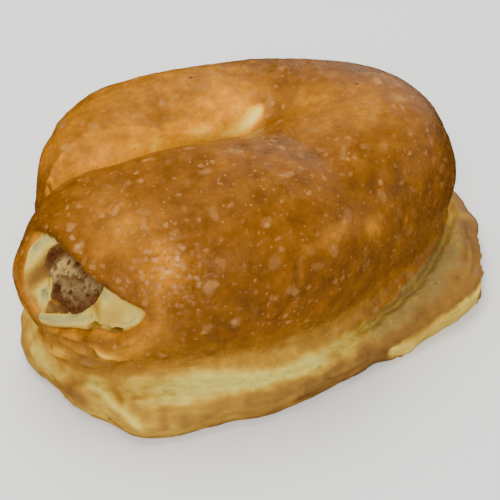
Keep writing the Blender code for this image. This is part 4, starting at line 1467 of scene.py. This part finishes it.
def cell_spots(tree, place, size_mm, radius, edge, share):
    """Round spots in some of the cells of a given size, and a random number for each cell."""
    cells = add_node(tree, "ShaderNodeTexVoronoi", Vector=place, Scale=1.0 / (size_mm * MM))
    spot = add_node(tree, "ShaderNodeMapRange", Value=cells.outputs["Distance"],
                    From_Min=radius, From_Max=edge * radius)
    dice = add_node(tree, "ShaderNodeSeparateColor", Color=cells.outputs["Color"])
    chosen = calculate(tree, "LESS_THAN", dice.outputs[0], share)
    return calculate(tree, "MULTIPLY", spot.outputs[0], chosen), dice.outputs[1]


def freckles(tree, place, size_mm, radius, share, strength):
    """Crisp round spots, all of one strength."""
    dots = cell_spots(tree, place, size_mm, radius, 0.55, share)[0]
    return calculate(tree, "MULTIPLY", dots, strength)


print("object coordinates are metres, so 3 mm mottles need a noise scale of", round(1.0 / (3.0 * MM)))

# %% Ramps, materials and relief
def colour_ramp(tree, value, stops):
    """Look a value up between named stops of place and colour."""
    node = add_node(tree, "ShaderNodeValToRGB", Fac=value)
    node.color_ramp.interpolation = "B_SPLINE"
    elements = node.color_ramp.elements
    while len(elements) > 1:
        elements.remove(elements[-1])
    elements[0].position, elements[0].color = stops[0][0], (*stops[0][1], 1.0)
    for position, colour in stops[1:]:
        elements.new(position).color = (*colour, 1.0)
    return node.outputs["Color"]


def new_material(name):
    """An empty Principled material: its tree, its shader and object coordinates."""
    material = bpy.data.materials.new(name)
    material.use_nodes = True
    tree = material.node_tree
    shader = tree.nodes["Principled BSDF"]
    place = tree.nodes.new("ShaderNodeTexCoord").outputs["Object"]
    return material, tree, shader, place


def attribute(tree, name):
    """A value that is stored on the mesh's points."""
    node = tree.nodes.new("ShaderNodeAttribute")
    node.attribute_name = name
    return node.outputs["Fac"]


def add_bump(tree, shader, height, depth_mm):
    """Relief too fine for the mesh, from a height socket."""
    bump = add_node(tree, "ShaderNodeBump", Height=height, Distance=depth_mm * MM, Strength=1.0)
    tree.links.new(bump.outputs["Normal"], shader.inputs["Normal"])


pieces = [dough, *inner_dough.values(), *crumbs]
print("pieces that wait for a material:", [piece.name for piece in pieces])

# %% [markdown]
# The crust is two doughs in one: brushed with egg it bakes red-brown, and left plain it
# bakes yellower. Both ramps are read at the same bake, and `washed` says which one counts.
# Pale flakes lie over the glaze, and the smallest stand in as painted glints. Over the front
# arm's dome lie fine wrinkles and a painted net of pale highlights, and the groove at the right
# is tinted grey as painted shade. Gloss follows the glaze.

# %% Colours of the crust
BAKED_COLOURS = (
    (0.00, (0.86, 0.70, 0.16)),
    (0.12, (0.88, 0.50, 0.030)),
    (0.28, (0.82, 0.28, 0.002)),
    (0.42, (0.50, 0.180, 0.003)),
    (0.56, (0.32, 0.115, 0.004)),
    (0.70, (0.225, 0.075, 0.005)),
    (0.84, (0.165, 0.056, 0.004)),
    (1.00, (0.085, 0.028, 0.003)),
)
PLAIN_COLOURS = (
    (0.00, (0.88, 0.73, 0.14)),
    (0.12, (0.80, 0.60, 0.09)),
    (0.28, (0.60, 0.36, 0.030)),
    (0.42, (0.44, 0.225, 0.018)),
    (0.56, (0.33, 0.155, 0.018)),
    (0.70, (0.24, 0.110, 0.016)),
    (0.84, (0.150, 0.060, 0.009)),
    (1.00, (0.060, 0.020, 0.003)),
)
# pale flakes lie over the glaze, and the smallest of them stand in as painted glints
FLAKE_AND_GLINT_COLOUR = (0.46, 0.22, 0.060)
# size, radius and share of the flakes' cells, and their strength
FLAKE_AND_GLINT_SIZES = ((4.6, 0.34, 0.50, 0.38), (2.2, 0.32, 0.44, 0.46), (1.1, 0.28, 0.30, 0.60))
# pale pink of the painted net of highlights on the front arm's dome
DOME_HIGHLIGHT_COLOUR = (0.66, 0.32, 0.150)
GROOVE_SHADE_COLOUR = (0.235, 0.170, 0.050)      # painted shade: greyish colour of the pale band down in the right groove
print("the crust's colours run through", len(BAKED_COLOURS), "stops, and three more lie over them")

# %% Flakes, and the crust's colour
def mix_colours(tree, share, first, second):
    """The first colour where the share is 0, and the second where it is 1."""
    node = tree.nodes.new("ShaderNodeMix")
    node.data_type = "RGBA"
    for number, value in ((0, share), (6, first), (7, second)):      # the sockets for colours
        feed(tree, node.inputs[number], value)
    return node.outputs[2]


def flakes_and_glints(tree, place, size_mm, radius, share, strength):
    """Ragged pale spots in some of the cells of a given size, each of its own strength: scabs, and
    painted glints and highlights.
    """
    wobble = add_node(tree, "ShaderNodeTexNoise", Vector=place, Scale=1.6 / (size_mm * MM), Detail=3.0)
    push = tree.nodes.new("ShaderNodeVectorMath")
    push.operation = "MULTIPLY_ADD"
    push.inputs[1].default_value = (0.9 * size_mm * MM,) * 3
    tree.links.new(wobble.outputs["Color"], push.inputs[0])
    tree.links.new(place, push.inputs[2])
    flake, dice = cell_spots(tree, push.outputs[0], size_mm, radius, 0.5, share)
    level = calculate(tree, "MULTIPLY", calculate(tree, "ADD", dice, 0.3), strength)
    return calculate(tree, "MULTIPLY", flake, level)


def crust_colour(tree, place, glaze_value, wrinkles_and_highlights):
    """Bake and noise looked up in the two ramps, with flakes and painted glints, the dome's painted
    highlights and the groove's painted shade laid over.
    """
    clouds = mottle(tree, place, 12.0, 0.16)
    for size_mm, strength in ((3.8, 0.50), (1.2, 0.18)):
        clouds = add_up(tree, clouds, mottle(tree, place, size_mm, strength, roughness=0.5))
    gain = add_node(tree, "ShaderNodeMapRange", Value=glaze_value, To_Min=0.35, To_Max=1.0)
    total = add_up(tree, attribute(tree, "bake"), calculate(tree, "MULTIPLY", clouds, gain.outputs[0]),
                   freckles(tree, place, 8.5, 0.06, 0.45, 0.8))
    colour = mix_colours(tree, attribute(tree, "washed"), colour_ramp(tree, total, PLAIN_COLOURS),
                         colour_ramp(tree, total, BAKED_COLOURS))
    scabs_and_glints = add_up(tree, 0.0, *(flakes_and_glints(tree, place, *row) for row in FLAKE_AND_GLINT_SIZES))
    highlight_net = calculate(tree, "MULTIPLY", flakes_and_glints(tree, place, 1.4, 0.50, 0.85, 0.60), wrinkles_and_highlights)
    # flakes with their painted glints, the dome's painted highlights and the groove's painted shade are
    # laid over
    for share, tint in ((calculate(tree, "MULTIPLY", scabs_and_glints, glaze_value), FLAKE_AND_GLINT_COLOUR),
                        (highlight_net, DOME_HIGHLIGHT_COLOUR), (attribute(tree, "groove_shade"), GROOVE_SHADE_COLOUR)):
        colour = mix_colours(tree, share, colour, (*tint, 1.0))
    return colour


print("flakes come in", [row[0] for row in FLAKE_AND_GLINT_SIZES], "mm cells")

# %% The glazed crust
def crust_relief(tree, place, wrinkles_and_highlights):
    """Height of the fine grain, the pimples, the torn crumb and the wrinkles."""
    crumbly = mottle(tree, place, 0.8, 5.0, roughness=0.75)
    creased = mottle(tree, place, 1.6, 9.0, detail=1.0)
    return add_up(tree, mottle(tree, place, 1.0, 1.0), mottle(tree, place, 0.3, 0.5),
                  freckles(tree, place, 1.3, 0.36, 0.3, 0.5),
                  calculate(tree, "MULTIPLY", crumbly, attribute(tree, "ragged")),
                  calculate(tree, "MULTIPLY", creased, wrinkles_and_highlights))


def glazed_crust():
    """Mottled, flaky crust, from raw cream to deep brown."""
    material, tree, shader, place = new_material("glazed_crust")
    glaze_value, wrinkles_and_highlights = attribute(tree, "glaze"), attribute(tree, "dome_wrinkles_and_highlights")
    tree.links.new(crust_colour(tree, place, glaze_value, wrinkles_and_highlights), shader.inputs["Base Color"])
    shader.inputs["Specular IOR Level"].default_value = 0.35
    gloss = add_node(tree, "ShaderNodeMapRange", Value=glaze_value, To_Min=0.55, To_Max=0.25)
    uneven_gloss = add_up(tree, gloss.outputs[0], mottle(tree, place, 1.4, 0.20))
    tree.links.new(uneven_gloss, shader.inputs["Roughness"])
    add_bump(tree, shader, crust_relief(tree, place, wrinkles_and_highlights), 0.16)
    return material


dough.data.materials.append(glazed_crust())
print("the crust's material has", len(dough.data.materials[0].node_tree.nodes), "nodes")

# %% [markdown]
# Inside the mouths nothing was brushed with egg. The torn dough is moist and has a soft sheen,
# the filling is dry and matt, and one recipe does for both: a ramp over the tone or the shade
# on the points, broken up by noise of two sizes, with a little relief. Only the numbers
# differ, so one function takes them.

# %% The torn dough and the walnut crumb
TORN_COLOURS = (
    (0.00, (0.17, 0.175, 0.095)),
    (0.20, (0.76, 0.58, 0.12)),
    (0.40, (0.56, 0.33, 0.020)),
    (0.60, (0.25, 0.108, 0.012)),
    (0.80, (0.12, 0.042, 0.007)),
    (1.00, (0.045, 0.014, 0.004)),
)
CRUMB_COLOURS = (
    (0.00, (0.055, 0.015, 0.004)),
    (0.20, (0.120, 0.038, 0.008)),
    (0.45, (0.150, 0.078, 0.026)),
    (0.70, (0.210, 0.135, 0.056)),
    (1.00, (0.480, 0.310, 0.085)),
)


def inner_look(name, key, stops, mottles, grains, depth_mm, roughness, specular):
    """A ramp over one value of the points; mottles and grains are rows of size and strength."""
    material, tree, shader, place = new_material(name)
    total = add_up(tree, attribute(tree, key), *(mottle(tree, place, *row) for row in mottles))
    tree.links.new(colour_ramp(tree, total, stops), shader.inputs["Base Color"])
    shader.inputs["Roughness"].default_value = roughness
    shader.inputs["Specular IOR Level"].default_value = specular
    add_bump(tree, shader, add_up(tree, *(mottle(tree, place, *row) for row in grains)), depth_mm)
    return material


torn_look = inner_look("torn_dough", "tone", TORN_COLOURS, ((2.5, 0.16), (0.6, 0.16)),
                       ((0.8, 1.0), (0.25, 0.5)), 0.25, roughness=0.38, specular=0.5)
crumb_look = inner_look("walnut_crumb", "shade", CRUMB_COLOURS, ((0.9, 0.5), (0.25, 0.3)),
                        ((0.6, 1.0), (0.2, 0.6)), 0.3, roughness=0.85, specular=0.12)
for look, plugs in ((torn_look, inner_dough.values()), (crumb_look, crumbs)):
    for piece in plugs:
        piece.data.materials.append(look)
    print(look.name, "is on", len(plugs), "pieces")

# %% [markdown]
# ## A table and studio light
#
# The roll stands on a plain pale table under soft light. Brightness and gloss are set apart:
# two wide lamps, overhead and in front, light the dough but aren't mirrored in its glaze, and
# three more are only mirrored. Those are a small soft box for the shine on the front arm's
# dome, a window behind for the haze along the top, and a bright wall at the right. A bright
# room all round fills the shadows, and like the table it isn't mirrored.

# %% The floor
def add_floor():
    """A wide pale floor, a hair under the roll."""
    data = bpy.data.meshes.new("table")
    shape = bmesh.new()
    bmesh.ops.create_grid(shape, x_segments=1, y_segments=1, size=3.0)
    bmesh.ops.translate(shape, verts=shape.verts, vec=(0.0, 0.0, -0.0002))
    shape.to_mesh(data)
    shape.free()
    floor = bpy.data.objects.new("table", data)
    bpy.context.scene.collection.objects.link(floor)
    material, _, shader, _ = new_material("table_white")
    shader.inputs["Base Color"].default_value = (0.86, 0.86, 0.85, 1.0)
    shader.inputs["Roughness"].default_value = 0.9
    data.materials.append(material)
    floor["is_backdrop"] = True
    return floor


floor = add_floor()
floor.visible_glossy = False
print("the floor is", round(floor.dimensions.x, 1), "m wide")

# %% Lamps and room
def add_lamp(name, place, size, watts, colour, aim=(0.0, 0.0, 0.03)):
    """A soft square lamp that faces the roll."""
    data = bpy.data.lights.new(name, "AREA")
    data.shape = "SQUARE"
    data.size = size
    data.energy = watts
    data.color = colour
    lamp = bpy.data.objects.new(name, data)
    lamp.location = place
    way = Vector(aim) - Vector(place)
    lamp.rotation_euler = way.to_track_quat("-Z", "Y").to_euler()
    bpy.context.scene.collection.objects.link(lamp)
    return lamp


DAYLIGHT, WARM = (1.0, 0.99, 0.97), (1.0, 0.98, 0.95)
# name, place, size, watts, colour, and whether it lights the roll or is only mirrored in it
LAMPS = (
    ("overhead", (-0.05, 0.30, 0.75), 0.6, 8.0, DAYLIGHT, "lights"),
    ("front", (-0.25, -0.60, 0.65), 0.5, 7.0, DAYLIGHT, "lights"),
    ("soft_box", (-0.14, -0.62, 0.36), 0.14, 0.42, WARM, "mirrored"),
    ("window", (0.62, 0.75, 0.28), 0.90, 2.2, WARM, "mirrored"),
    ("bright_wall", (1.0, -0.10, 0.30), 0.60, 0.7, WARM, "mirrored"),
)
for name, place, size, watts, colour, use in LAMPS:
    lamp = add_lamp(name, place, size, watts, colour)
    lamp.visible_glossy = use == "mirrored"
    lamp.visible_diffuse = use == "lights"
world = bpy.data.worlds.new("room")
bpy.context.scene.world = world
world.use_nodes = True
room_light = world.node_tree.nodes["Background"].inputs
room_light["Color"].default_value = (*DAYLIGHT, 1.0)
room_light["Strength"].default_value = 0.50
world.cycles_visibility.glossy = False
print(len(LAMPS), "lamps and a bright room")

# %% [markdown]
# ## The size
#
# The look must not make the roll bigger than its construction. We print the finished roll's
# box beside the box of its construction.

# %% Sizes and the end
visual_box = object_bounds()
visual_size = [round((high - low) / MM, 1) for low, high in zip(*visual_box)]
print("the finished roll is", visual_size, "mm, and its frame", cad_size, "mm")
